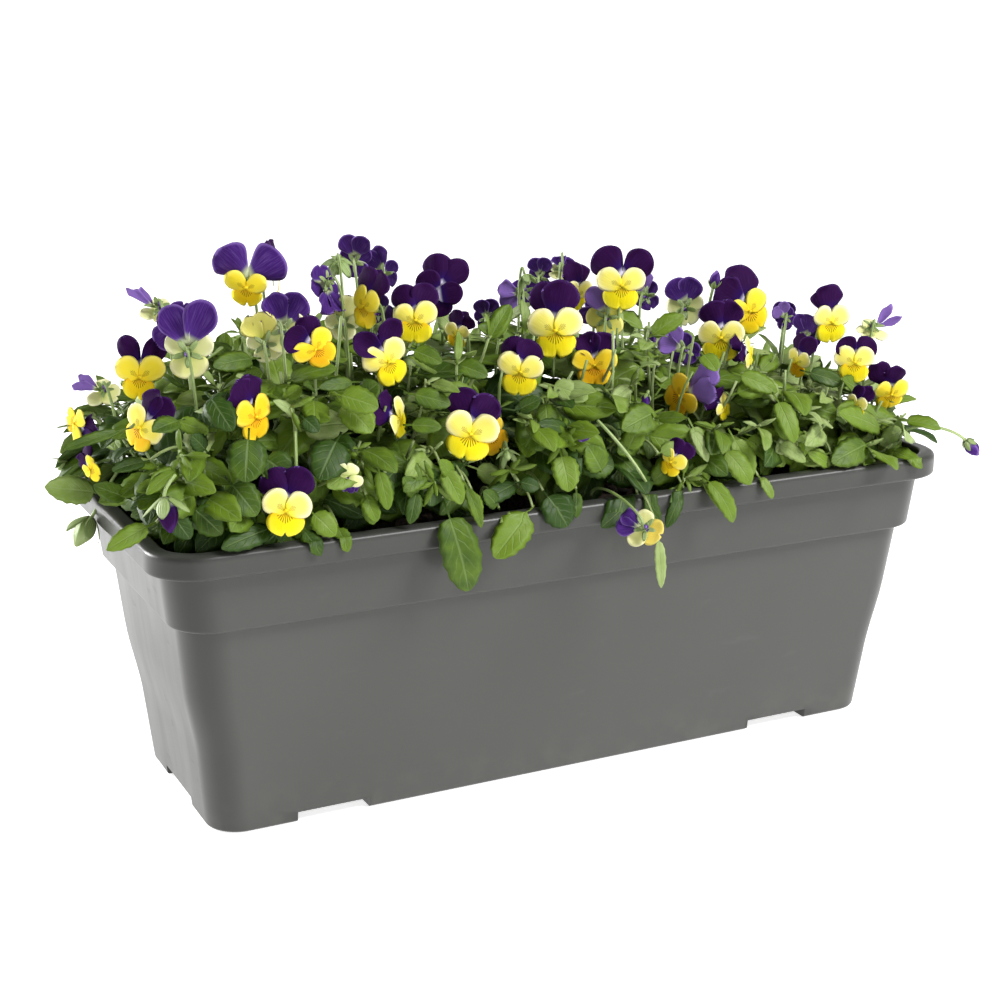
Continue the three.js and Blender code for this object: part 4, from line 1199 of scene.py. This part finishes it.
# %% Edge leaves
EDGE_LEAVES = [
    "-248 4 180  -283 -2 190  7.8 0.35 0.8",
    "-243 -36 226  -281 -42 220  3.3 0.3 0.25",
    "-227 -72 212  -252 -90 205  4.0 0.8 0.5",
    "-246 -88 190  -275 -96 181  5.2 0.6 0.55",
    "-229 -80 196  -215 -92 180  7.3 0.6 0.15",
    "-240 -84 196  -231 -90 179  5.5 0.6 0",
    "-246 -44 189  -269 -52 202  5.1 0.3 0.25",
    "-194 -78 230  -203 -96 207  10.4 0.7 0.2",
    "-190 -76 216  -174 -90 203  8.7 0.5 0.15",
    "-208 -78 206  -197 -94 188  8.7 0.7 0.2",
    "-143 -76 222  -163 -94 203  11.1 0.6 0.05",
    "-132 -80 206  -158 -94 198  7.6 0.5 0.65",
    "-180 -84 178  -217 -97 174  6.4 0.6 0.05",
    "-167 -86 186  -156 -98 173  6.5 0.8 0.6",
    "-172 -88 178  -165 -100 164  4.9 0.9 0.15",
    "-152 -88 177  -150 -100 164  4.4 0.9 0.4",
    "-127 -84 206  -126 -97 183  4.5 0.9 0.45",
    "-136 -84 192  -132 -96 177  4.7 0.8 0.45",
    "-104 -86 191  -114 -98 174  4.5 0.8 0.15",
    "-96 -84 198  -116 -95 191  4.8 0.6 0.3",
    "-92 -90 185  -84 -107 135  11.0 0.9 0.25",
    "-37 -92 173  -68 -106 151  9.8 0.6 0.6",
    "-91 -84 202  -84 -98 181  5.9 0.9 0.65",
    "-78 -86 192  -73 -100 167  3.5 0.9 0.4",
    "-38 -82 185  -71 -94 179  5.4 0.5 0",
    "-17 -82 201  -19 -98 180  8.0 0.8 0.65",
    "-9 -80 193  14 -90 188  9.5 0.6 0.15",
    "-31 -88 181  -21 -101 161  10.4 0.8 0",
    "31 -90 170  0 -102 158  6.2 0.6 0",
    "-10 -90 180  -15 -100 165  3.3 0.8 0.2",
    "28 -115 159  32 -115 122  3.4 0.3 0.95",
    "70 -90 178  83 -108 152  5.7 1.6 0.55",
    "70 -90 175  76 -104 160  2.6 1.2 0.7",
    "86 -84 192  98 -102 171  7.5 1.1 0.6",
    "69 -78 204  72 -96 186  4.0 0.9 1",
    "108 -92 174  113 -103 161  3.2 1 0.7",
    "58 -94 173  41 -104 153  4.0 0.6 0.1",
    "33 -92 174  35 -102 152  5.1 0.7 0.15",
    "200 -82 181  160 -95 175  9.0 0.6 0.3",
    "228 -60 177  171 -84 202  8.2 0.4 0.55",
    "131 -72 216  133 -94 190  6.5 0.8 0.6",
    "127 -80 189  140 -96 178  5.0 0.8 0.85",
    "169 -88 168  143 -94 183  4.7 0.3 0.65",
    "55 -74 214  21 -86 208  9.6 0.5 0.4",
    "139 -70 215  134 -84 189  8.9 0.5 0.35",
    "224 -62 187  179 -72 201  8.0 0.4 0.6",
    "200 -74 182  172 -84 178  8.5 0.5 0.5",
    "94 -82 200  104 -94 172  7.0 0.7 0.65",
    "69 -78 208  75 -90 186  5.2 0.6 0.75",
    "148 -78 189  126 -86 183  5.9 0.5 1",
    "168 -84 178  143 -90 175  5.4 0.4 0.75",
    "-20 -68 235  1 -82 227  6.6 0.5 0.85",
    "-20 -70 227  -25 -84 213  6.6 0.7 0.35",
    "7 -92 183  -2 -88 202  7.8 0.5 0.35",
    "-7 -82 209  -32 -86 217  4.4 0.5 0.1",
    "113 -52 226  139 -66 214  6.5 0.5 0.55",
    "173 -40 219  195 -54 211  6.1 0.5 0.15",
    "100 -40 237  102 -56 228  5.9 0.6 0.6",
    "212 -50 202  192 -58 215  6.2 0.5 0.35",
    "239 -62 182  210 -76 176  6.2 0.6 0.75",
    "-42 -76 222  -30 -84 230  4.9 0.5 0.1",
    "-75 -90 188  -74 -98 171  4.3 0.8 0.6",
    "-83 -88 191  -94 -92 205  4.3 0.5 0.45",
    "-58 -92 173  -70 -96 186  4.9 0.5 0.2",
    "-47 -88 187  -35 -94 183  4.9 0.5 0",
    "24 -84 192  34 -84 209  6.2 0.5 0.45",
    "43 -86 191  57 -90 196  4.5 0.5 0.75",
    "-142 -66 239  -129 -84 222  8.9 0.5 0.65",
    "-126 -60 235  -117 -64 243  6.4 0.5 0.25",
    "-214 -66 224  -201 -66 247  7.2 0.4 0",
    "-103 -66 237  -81 -78 231  5.9 0.5 0.3",
    "-91 -42 256  -76 -56 249  5.5 0.5 0.35",
    "-68 -46 247  -50 -60 240  6.1 0.5 0.3",
    "-108 -76 222  -90 -86 221  4.8 0.5 0.35",
    "-227 -74 211  -248 -84 210  4.5 0.5 0.55",
    "-241 -64 215  -264 -72 214  4.0 0.5 0.15",
    "-213 -78 199  -223 -88 183  7.1 0.6 0",
    "-122 -84 201  -125 -94 184  4.2 0.6 0.15",
    "-135 -88 192  -133 -94 175  4.7 0.6 0.35",
    "-122 -52 242  -149 -60 243  4.3 0.5 0.25",
    "-170 -30 255  -201 -44 256  6.3 0.5 0.3",
    "-230 -62 235  -213 -70 228  4.5 0.5 0.6",
    "-214 -72 217  -224 -76 229  5.1 0.5 0.05",
    "-104 -88 183  -115 -92 198  4.8 0.5 0.3",
    "-111 -82 207  -105 -92 195  4.2 0.5 0.35",
    "-190 -84 206  -177 -90 197  4.6 0.5 0.3",
    "-186 -40 244  -175 -46 251  4.7 0.5 0.35",
    "-165 -74 233  -158 -82 225  4.7 0.5 0",
    "-170 -62 239  -160 -64 245  4.2 0.5 0.45",
    "-148 -74 243  -127 -88 236  7.8 0.5 0.5",
    "-211 -60 247  -205 -84 231  7.6 0.6 0.05",
    "-225 -70 236  -246 -84 235  5.5 0.4 0.25",
]


MEAN_BEND = 0.43  # the mean of the power curve that a leaf bends by
NEAR_RIM = -14  # distance from the rim's outline past which a foot needs a further stalk
STALK_BACK = 30  # that stalk starts this far inside the outline


def build_edge_leaves():
    """The straight line from foot to tip leans by the mean of the leaf's bend away from its start.
    A stalk takes a quarter of each leaf. Where the foot is near the rim, or past it, a further
    stalk leads back over the rim into the crop."""
    rows = np.array([line.split() for line in EDGE_LEAVES], float)
    foot, tip, half, bend, tone = rows[:, :3], rows[:, 3:6], rows[:, 6], rows[:, 7], rows[:, 8]
    chord = tip - foot
    reach = np.linalg.norm(chord, axis=1)
    gap, go_x, go_y = rim_gap(foot[:, 0], foot[:, 1])
    out = np.stack([go_x - 0.35, go_y - 0.35 - 1.2 * np.abs(go_x), 0.9 + 0 * gap], axis=1)
    level = unit(chord)
    out = unit(out - (out * level).sum(axis=1, keepdims=True) * level)
    lean = (MEAN_BEND * bend)[:, None]
    heading = np.cos(lean) * level + np.sin(lean) * out
    facing = np.cos(lean) * out - np.sin(lean) * level
    whole = reach * (1 + 0.05 * bend**2)
    r = np.random.default_rng(12)
    tops, uv = leaf_tops(
        foot, heading, facing, 0.25 * whole, 0.75 * whole, half, bend,
        r.uniform(0.02, 0.25, reach.shape), r.uniform(0.02, 0.10, reach.shape),
        r.uniform(0, 6.3, reach.shape), r.uniform(0.4, 0.55, reach.shape), rows=18, columns=7,
    )
    patch = sheets(clear_of_trough(tops), 0.45, uv, tone, (0, 1))
    far = gap > NEAR_RIM
    foot_out = foot[far]
    way = np.stack([go_x, go_y, 0 * gap], axis=1)[far]
    back = (gap[far] + STALK_BACK)[:, None]
    start = foot_out - back * way
    start[:, 2] = np.maximum(start[:, 2], TOP + 6) - 4
    neck = foot_out - 0.3 * back * way
    neck[:, 2] = np.maximum(neck[:, 2] + 6, TOP + 10)
    paths = bezier(start, start + [0, 0, 14.0], neck, foot_out + 2 * heading[far], np.linspace(0, 1, 10))
    across = np.cross([0, 0, 1.0], way)
    stalks = tubes(paths, np.full(paths.shape[:2], 0.8), across, 6, 0.3, 2)
    build_piece("edge_leaves", [patch, stalks], [LEAF_TOP, LEAF_BACK, STEM])
    for share in (0.45, 0.75):
        SHOWN.extend(zip(foot + share * chord, 0.8 * half + 1, 3 + 0 * half))
    return len(foot)


print(build_edge_leaves(), "edge leaves")

# %% [markdown]
# ## Shoots
# Each plant spreads from its crown into many shoots, and each shoot ends near the top of the
# crop. Shoot tips stand on a staggered and jittered grid over the trough. Leaves climb each shoot
# by the golden angle, long-stalked and level below, short, narrow and upright at the tip, and
# each has two narrow stipules at its foot. Shoots on the slopes of the crop send their leaves
# outwards.

# %% Places and paths of the shoots
def shoot_paths(count_x=21, count_y=8):
    """Four control points for each shoot, the number of its plant, and the way down the slope of
    the crop, as long as the slope is steep, at most 1."""
    x, y = np.meshgrid(np.linspace(-249, 249, count_x), np.linspace(-85, 84, count_y))
    x = (x + 12 * (np.arange(count_y) % 2 - 0.5)[:, None]).ravel() + random.uniform(-8, 8, x.size)
    y = y.ravel() + random.uniform(-6, 6, x.size)
    gap, go_x, go_y = rim_gap(x, y, 45)
    x, y = x - go_x * np.maximum(gap + 12, 0), y - go_y * np.maximum(gap + 12, 0)
    z = crop_top(x, y) - random.uniform(0, 13, x.size)
    slope_x = (crop_top(x + 4, y) - crop_top(x - 4, y)) / 8
    slope_y = (crop_top(x, y + 4) - crop_top(x, y - 4)) / 8
    down = -np.stack([slope_x, slope_y, 0 * x], axis=1)
    axis = unit(0.7 * down + [0, 0, 1] + random.normal(0, 0.17, (x.size, 3)))
    outward = down / np.maximum(1.5, np.linalg.norm(down, axis=1, keepdims=True))
    crowns = np.array(list(PLANTS.values()), float)
    wander = random.uniform(-25, 25, x.size)
    plant = np.argmin(np.abs(x[:, None] + wander[:, None] - crowns[:, 0]), axis=1)
    tip = np.stack([x, y, z], axis=1)
    away = unit(tip[:, :2] - crowns[plant])
    root = np.concatenate([crowns[plant] + 6 * away, np.full((x.size, 1), SOIL_TOP + 2)], axis=1)
    knee = root + np.concatenate([0.35 * (tip - root)[:, :2], np.full((x.size, 1), 22.0)], axis=1)
    return root, knee, tip - 26 * axis, tip, plant, outward


# %% Leaves and stipules of the shoots
LEAVES = 10  # on each shoot
GOLDEN = math.radians(137.5)


def shoot_patches(root, knee, neck, tip, outward, seed):
    """Stem tubes, leaves and stipules of some shoots, as patches. Materials: 0 leaf, 1 its back,
    2 stem."""
    r = np.random.default_rng(seed)
    count = len(root)
    rank = np.linspace(0, 1, LEAVES)[None] + 0 * root[:, :1]
    place = 0.46 + 0.54 * rank**0.7
    curve = bezier(root, knee, neck, tip, place)
    tangent = unit(curve - bezier(root, knee, neck, tip, place - 0.04))
    turn = r.uniform(0, 2 * np.pi, (count, 1)) + GOLDEN * np.arange(LEAVES)
    turn = turn + r.normal(0, 0.25, (count, LEAVES))
    radial = np.stack([np.cos(turn), np.sin(turn), 0 * turn], axis=-1)
    raise_by = np.radians(8 + 50 * rank**1.6 + r.normal(0, 9, (count, LEAVES)))
    slide = (1 - 0.6 * rank)[..., None] * outward[:, None]
    sag = np.linalg.norm(slide, axis=-1, keepdims=True) * [0, 0, 1.0]
    heading = np.cos(raise_by)[..., None] * radial + np.sin(raise_by)[..., None] * tangent
    light = np.clip((52 - tip[:, None, None, 1]) / 12, -1, 1) * [0, -1.0, 0] * np.ones_like(heading)
    heading = unit(heading + 0.75 * slide - 0.30 * sag + 0.35 * light - [0, 0, 0.12])
    facing = tangent + [0, 0, 0.5] + 1.1 * slide + 0.8 * light + r.normal(0, 0.25, heading.shape)
    flat = lambda a: a.reshape(-1, *a.shape[2:])
    shrink = flat(1 - 0.36 * rank**3)
    size = shrink * r.normal(1, 0.14, count * LEAVES)
    length = 28 * size
    half = 8.7 * size * r.normal(1, 0.14, size.shape) * flat(1 - 0.30 * rank**4)
    stalk = flat(13 - 9.5 * rank) * r.uniform(0.7, 1.25, size.shape)
    bend = r.uniform(0.5, 1.35, size.shape) * flat(1 - 0.35 * rank)
    tops, uv = leaf_tops(
        flat(curve), flat(heading), flat(facing), stalk, length, half, bend,
        r.uniform(0.05, 0.42, size.shape), r.uniform(0.04, 0.18, size.shape), r.uniform(0, 6.3, size.shape),
        r.uniform(0.40, 0.72, size.shape),
    )
    # Painted light: a leaf is paler the further right it stands, where the light falls, and painted shade
    # darkens the lower leaves. Leaves near a shoot's tip are younger and paler.
    pale = 0.44 * smooth(tops[:, 5, 2, 0], -60, 200) + 0.34 * smooth(tops[:, 5, 2, 2], 165, 245)
    tone = np.clip(pale + 0.34 * flat(rank) ** 2 + r.normal(0, 0.26, size.shape), 0, 1)
    kept = ~covers(tops[:, [4, 8, 12], 2]).any(axis=1) & ~crosses_the_rim(tops)
    leaves = sheets(clear_of_trough(tops[kept]), 0.45, uv, tone[kept], (0, 1))
    swing = np.array([-0.9, 0.9])[None, None] + turn[..., None]
    strip = np.stack([np.cos(swing), np.sin(swing), 0.55 + 0 * swing], axis=-1).reshape(-1, 3)
    feet = np.repeat(flat(curve), 2, axis=0)
    small = r.uniform(7, 13, len(feet))
    slips, slip_uv = leaf_tops(
        feet, strip, np.repeat(flat(tangent), 2, axis=0) + 0.01, 0.8, small, 1.5, 0.8, 0.3, 0.1, 0.0, 0.7,
        rows=7, columns=3,
    )
    slip_tone = np.clip(np.repeat(tone, 2) + 0.25, 0, 1)
    slim = np.repeat(kept, 2) & ~crosses_the_rim(slips)
    stipules = sheets(clear_of_trough(slips[slim]), 0.4, slip_uv, slip_tone[slim], (0, 1))
    t = np.linspace(0, 1, 9)
    paths = bezier(root, knee, neck, tip, t)
    across = np.cross([0, 0, 1.0], tip - root)
    stems = tubes(paths, (1.35 - 0.6 * t)[None].repeat(count, 0), across, 6, r.uniform(0, 0.4, count), 2)
    return [leaves, stipules, stems]


# %% Bundles of shoots
def build_shoots():
    """Shoots of one plant are split by place into bundles, each one piece."""
    root, knee, neck, tip, plant, outward = shoot_paths()
    band = np.digitize(tip[:, 1], [-32, 30])
    half = (tip[:, 0] > np.array(list(PLANTS.values()))[plant, 0]).astype(int)
    bundle = plant * 6 + half * 3 + band
    for number in np.unique(bundle):
        some = bundle == number
        owner = plant[some][0] + 1
        patches = shoot_patches(*(a[some] for a in (root, knee, neck, tip, outward)), 100 + int(number))
        name = f"viola_{owner}_shoots_{number % 6 + 1}"
        build_piece(name, patches, [LEAF_TOP, LEAF_BACK, STEM], [f"viola_{owner}"])
    return len(np.unique(bundle)), len(root)


print("bundles and shoots:", build_shoots())

# %% [markdown]
# ## Leafy tufts
# Young side shoots end in a star of narrow, bright, almost stalkless leaves round the next buds.

# %% Tufts
TUFTS = [  # x, y, z, facing, looks up, length of the leaves, how many
    "-97 -92 193 -25 15 19 13", "-137 -88 209 -35 20 17 11", "-232 -80 221 -50 25 17 10",
    "-17 -86 205 -20 20 18 12", "59 -94 177 -10 20 20 13",
    "-171 -76 238 -30 25 14 11", "10 -70 217 -20 40 14 10",
    "-60 -70 232 -30 40 15 9", "44 -55 225 -25 50 15 10",
    "-51 -90 194 -40 10 17 10", "-171 0 265 -25 60 15 9", "-88 -20 256 -25 55 15 9",
    "94 -50 228 -25 50 14 9", "-60 75 240 150 40 17 10", "120 80 215 170 30 17 10",
    "-180 78 215 190 30 17 10", "30 80 220 200 20 17 10", "235 20 200 90 30 16 10",
]


def build_tufts():
    """Each leaf of a tuft is turned by the golden angle from the one before it. The leaves open in
    even steps, from 0.35 to 1.45 radians off the tuft's axis, and the outer ones are longer."""
    r = np.random.default_rng(31)
    leaves, stems = [], []
    for row in TUFTS:
        x, y, z, facing, looks_up, length, count = map(float, row.split())
        n = int(count)
        turn = standing(facing, looks_up, 0)
        phi = GOLDEN * np.arange(n) + r.normal(0, 0.2, n)
        open_by = np.linspace(0.35, 1.45, n)
        aside = np.sin(open_by)
        local = np.stack([np.cos(phi) * aside, np.sin(phi) * aside, np.cos(open_by)], axis=1)
        base = np.array([x, y, z]) - 5 * turn[:, 2] * np.linspace(0, 1, n)[:, None]
        size = length * np.linspace(0.55, 1.0, n) * r.normal(1, 0.1, n)
        tops, uv = leaf_tops(
            base, local @ turn.T, np.tile(turn[:, 2], (n, 1)) + 0.01, 0.18 * size, 0.82 * size,
            0.13 * size, 0.75, 0.25, 0.08, r.uniform(0, 6.3, n), 0.7, rows=9, columns=3,
        )
        kept = ~covers(tops[:, [3, 6, 8], 1]).any(axis=1) & ~crosses_the_rim(tops)
        # Painted light: the tufts are paler the further right they stand, where the light falls.
        tone = np.clip(0.56 + r.normal(0, 0.12, n) + 0.12 * smooth(x, -60, 200), 0, 1)
        if not kept.any():
            continue
        leaves.append(sheets(clear_of_trough(tops[kept]), 0.4, uv, tone[kept], (0, 1)))
        ends = np.array([[x, y, z], [x, y, z]]) - turn[:, 2] * np.array([[2.0], [22.0]])
        stems.append(ends - [[0, 0, 0], [0, 0, 12]])
    stems = np.array(stems)
    paths = stems[:, :1] + (stems[:, 1:] - stems[:, :1]) * np.linspace(0, 1, 5)[:, None]
    across = np.cross([0.1, 0, 1.0], stems[:, 1] - stems[:, 0])
    leaves.append(tubes(paths, np.full(paths.shape[:2], 0.9), across, 6, 0.1, 2))
    build_piece("leafy_tufts", leaves, [LEAF_TOP, LEAF_BACK, STEM])
    return len(stems)


print(build_tufts(), "leafy tufts")

# %% [markdown]
# ## Flower stalks
# A stalk leaves the crop upright and ends in a hook that turns over to the back of its flower.
# It is a cubic curve whose last control point lies behind the flower.

# %% Flower stalks
def build_stalks(heads):
    """Cubic curves from a foot in the crop to the back of each flower. The foot lies towards the
    middle of the trough, and the plant with the nearest crown owns the stalk."""
    ends = np.array([end for end, _ in heads])
    faces = np.array([face for _, face in heads])
    level = unit(faces * [1, 1, 0] + [1e-4, 1e-4, 0])
    inward = np.stack([-0.12 * ends[:, 0], -0.45 * ends[:, 1], 0 * ends[:, 0]], axis=1)
    low = ends[:, 2] < 200
    foot = ends - 7 * level + np.where(low[:, None], inward, 0.25 * inward)
    foot[:, 2] = np.maximum(np.minimum(ends[:, 2] - 22, crop_top(foot[:, 0], foot[:, 1]) - 30), SOIL_TOP + 16)
    rise = np.maximum(ends[:, 2] - foot[:, 2], 20)
    first = foot + rise[:, None] * [0, 0, 0.75]
    last = ends - 9 * faces + [0, 0, 7.0]
    paths = bezier(foot, first, last, ends, np.linspace(0, 1, 14))
    across = np.cross([0, 0, 1.0], ends - foot)
    radii = np.broadcast_to(np.linspace(0.95, 0.75, 14), paths.shape[:2])
    crowns = np.array([x for x, _ in PLANTS.values()])
    owner = np.argmin(np.abs(ends[:, :1] - crowns), axis=1)
    for number in PLANTS:
        mine = owner == number - 1
        stalks = tubes(paths[mine], radii[mine], across[mine], 7, 0.1)
        build_piece(f"viola_{number}_flower_stalks", [stalks], [STEM], [f"viola_{number}"])


build_stalks(heads)

# %% [markdown]
# ## Buds
# A bud is furled petals: a spindle whose section has five soft lobes that wind round it. Five
# sepals clasp its lower half. One has already set a green seed pod.

# %% Buds
def bud_patches(middle, axis, size, share, flare):
    """A bud 15 mm long, times `size`, along the axis. Sepals cover `share` of it, and their tips
    stand `flare` mm off it."""
    side = unit(np.cross(axis, [0.3, 0.5, 1.0]))
    turn = np.stack([side, np.cross(axis, side), axis], axis=1)
    s = np.linspace(0.03, 0.97, 12)[:, None]
    angle = np.linspace(0, 2 * np.pi, 20, endpoint=False)
    radius = 4.0 * np.sin(np.pi * s**0.85) ** 0.75 * (1 + 0.10 * np.cos(5 * angle + 5 * s))
    spindle = np.stack([radius * np.cos(angle), radius * np.sin(angle), 15 * (s - 0.5) + 0 * angle], axis=-1)
    patches = [skins(spindle[None], 0.3, 0)]
    t = np.linspace(0, 1, 9)
    c = np.linspace(-1, 1, 5)
    for k in range(5):
        height = 15 * (share * t - 0.5) - 0.3
        hug = 4.3 * np.sin(np.pi * np.clip(share * t + 0.04, 0, 0.97) ** 0.85) ** 0.75 + 0.35 + flare * t**1.3
        phi = 2 * np.pi * k / 5 + 0.62 * np.cos(t * 1.5)[:, None] * c
        reach = hug[:, None]
        top = np.stack([reach * np.cos(phi), reach * np.sin(phi), height[:, None] + 0 * phi], axis=-1)
        uv = np.stack(np.meshgrid((c + 1) / 2, t), axis=-1)
        patches.append(sheets(top[None], 0.3, uv, 0.1, (1, 1)))
    return [(size * p @ turn.T + middle, g, uv, tone) for p, g, uv, tone in patches]


def build_bud(node, petals, share, flare, size):
    """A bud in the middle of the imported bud. Returns its foot and its axis."""
    packed = np.array([v.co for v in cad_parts[node].data.vertices]) / MM
    middle = (packed.min(axis=0) + packed.max(axis=0)) / 2
    axis = BUD_TIPS[node]
    patches = bud_patches(middle, axis, size, share, flare)
    build_piece("furled_" + node, patches, [petals, STEM], [node])
    return middle - 7.6 * size * axis, axis


BUD_TIPS = {
    "bud_1": unit(np.array([0.1, -0.1, -1.0])),
    "bud_2": unit(np.array([-0.6, -0.2, -0.8])),
    "bud_3": unit(np.array([-0.9, -0.3, -0.3])),
    "bud_4": unit(np.array([0.7, -0.1, -0.7])),
}
# Petals, how much of them the sepals cover, how far the sepals' tips stand off, and the size.
BUD_LOOKS = {
    "bud_1": (VELVET, 0.45, 5.5, 1.25), "bud_2": (STEM, 0.7, 5.0, 1.25),
    "bud_3": (VELVET, 0.45, 0.0, 1.0), "bud_4": (VIOLET, 0.4, 0.0, 1.0),
}
BUD_FEET = {
    "bud_1": (-236, -86, 212), "bud_2": (-232, 26, 186), "bud_3": (30, -66, 196), "bud_4": (226, -74, 176),
}


# Small buds of the open flowers to come: x, y, z and the direction of the tip.
SMALL_BUDS = [
    "-4 -88 208 -0.8 -0.4 -0.5 0.75", "44 -72 219 -0.5 -0.4 -0.8 0.6", "85 -10 242 0.3 -0.4 -0.9 0.6",
    "148 20 268 0.1 -0.2 1 0.8", "-128 40 262 0.6 -0.3 -0.7 0.7", "25 78 236 -0.2 0.7 -0.6 0.75",
    "-190 70 232 0.2 0.8 -0.5 0.75",
]
# Stalks that have lost their flowers and lie over the leaves: from and to.
BARE_STALKS = [
    "31 -97 179 5 -86 215", "-175 -92 197 -170 -80 226", "40 -40 215 46 -30 252", "-128 -30 238 -120 -20 272",
]


def build_buds():
    """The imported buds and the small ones, then one piece with all their stalks and the bare ones.
    A stalk is a cubic curve that comes in along the bud's axis."""
    stalks, small = [], []
    for node, look in BUD_LOOKS.items():
        end, axis = build_bud(node, *look)
        foot = np.array(BUD_FEET[node], float)
        arch = 0.35 * np.linalg.norm(end - foot)
        stalks.append([foot, foot + [0, 0, arch if node != "bud_1" else 0], end - arch * axis, end])
    for *eye, x, y, z, size in np.array([row.split() for row in SMALL_BUDS], float):
        axis = unit(np.array([x, y, z]))
        small += bud_patches(eye, axis, size, 0.5, 1.0)
        end = eye - 7.6 * size * axis
        foot = end + [6, 14, -26]
        stalks.append([foot, foot + [0, 0, 12], end - 8 * axis, end])
    build_piece("small_buds", small, [VIOLET, STEM])
    for row in BARE_STALKS:
        foot, tip = np.array(row.split(), float).reshape(2, 3)
        stalks.append([foot, foot * 0.7 + tip * 0.3 + [0, -2, 3], foot * 0.3 + tip * 0.7 + [0, -1, 2], tip])
    points = [np.array(p, float) for p in zip(*stalks)]
    paths = bezier(*points, np.linspace(0, 1, 14))
    across = np.cross([0, 0, 1.0], points[3] - points[0])
    patch = tubes(paths, np.full(paths.shape[:2], 0.95), across, 7, 0.1)
    build_piece("bud_stalks", [patch], [STEM])


build_buds()
print("buds:", ", ".join(BUD_LOOKS))
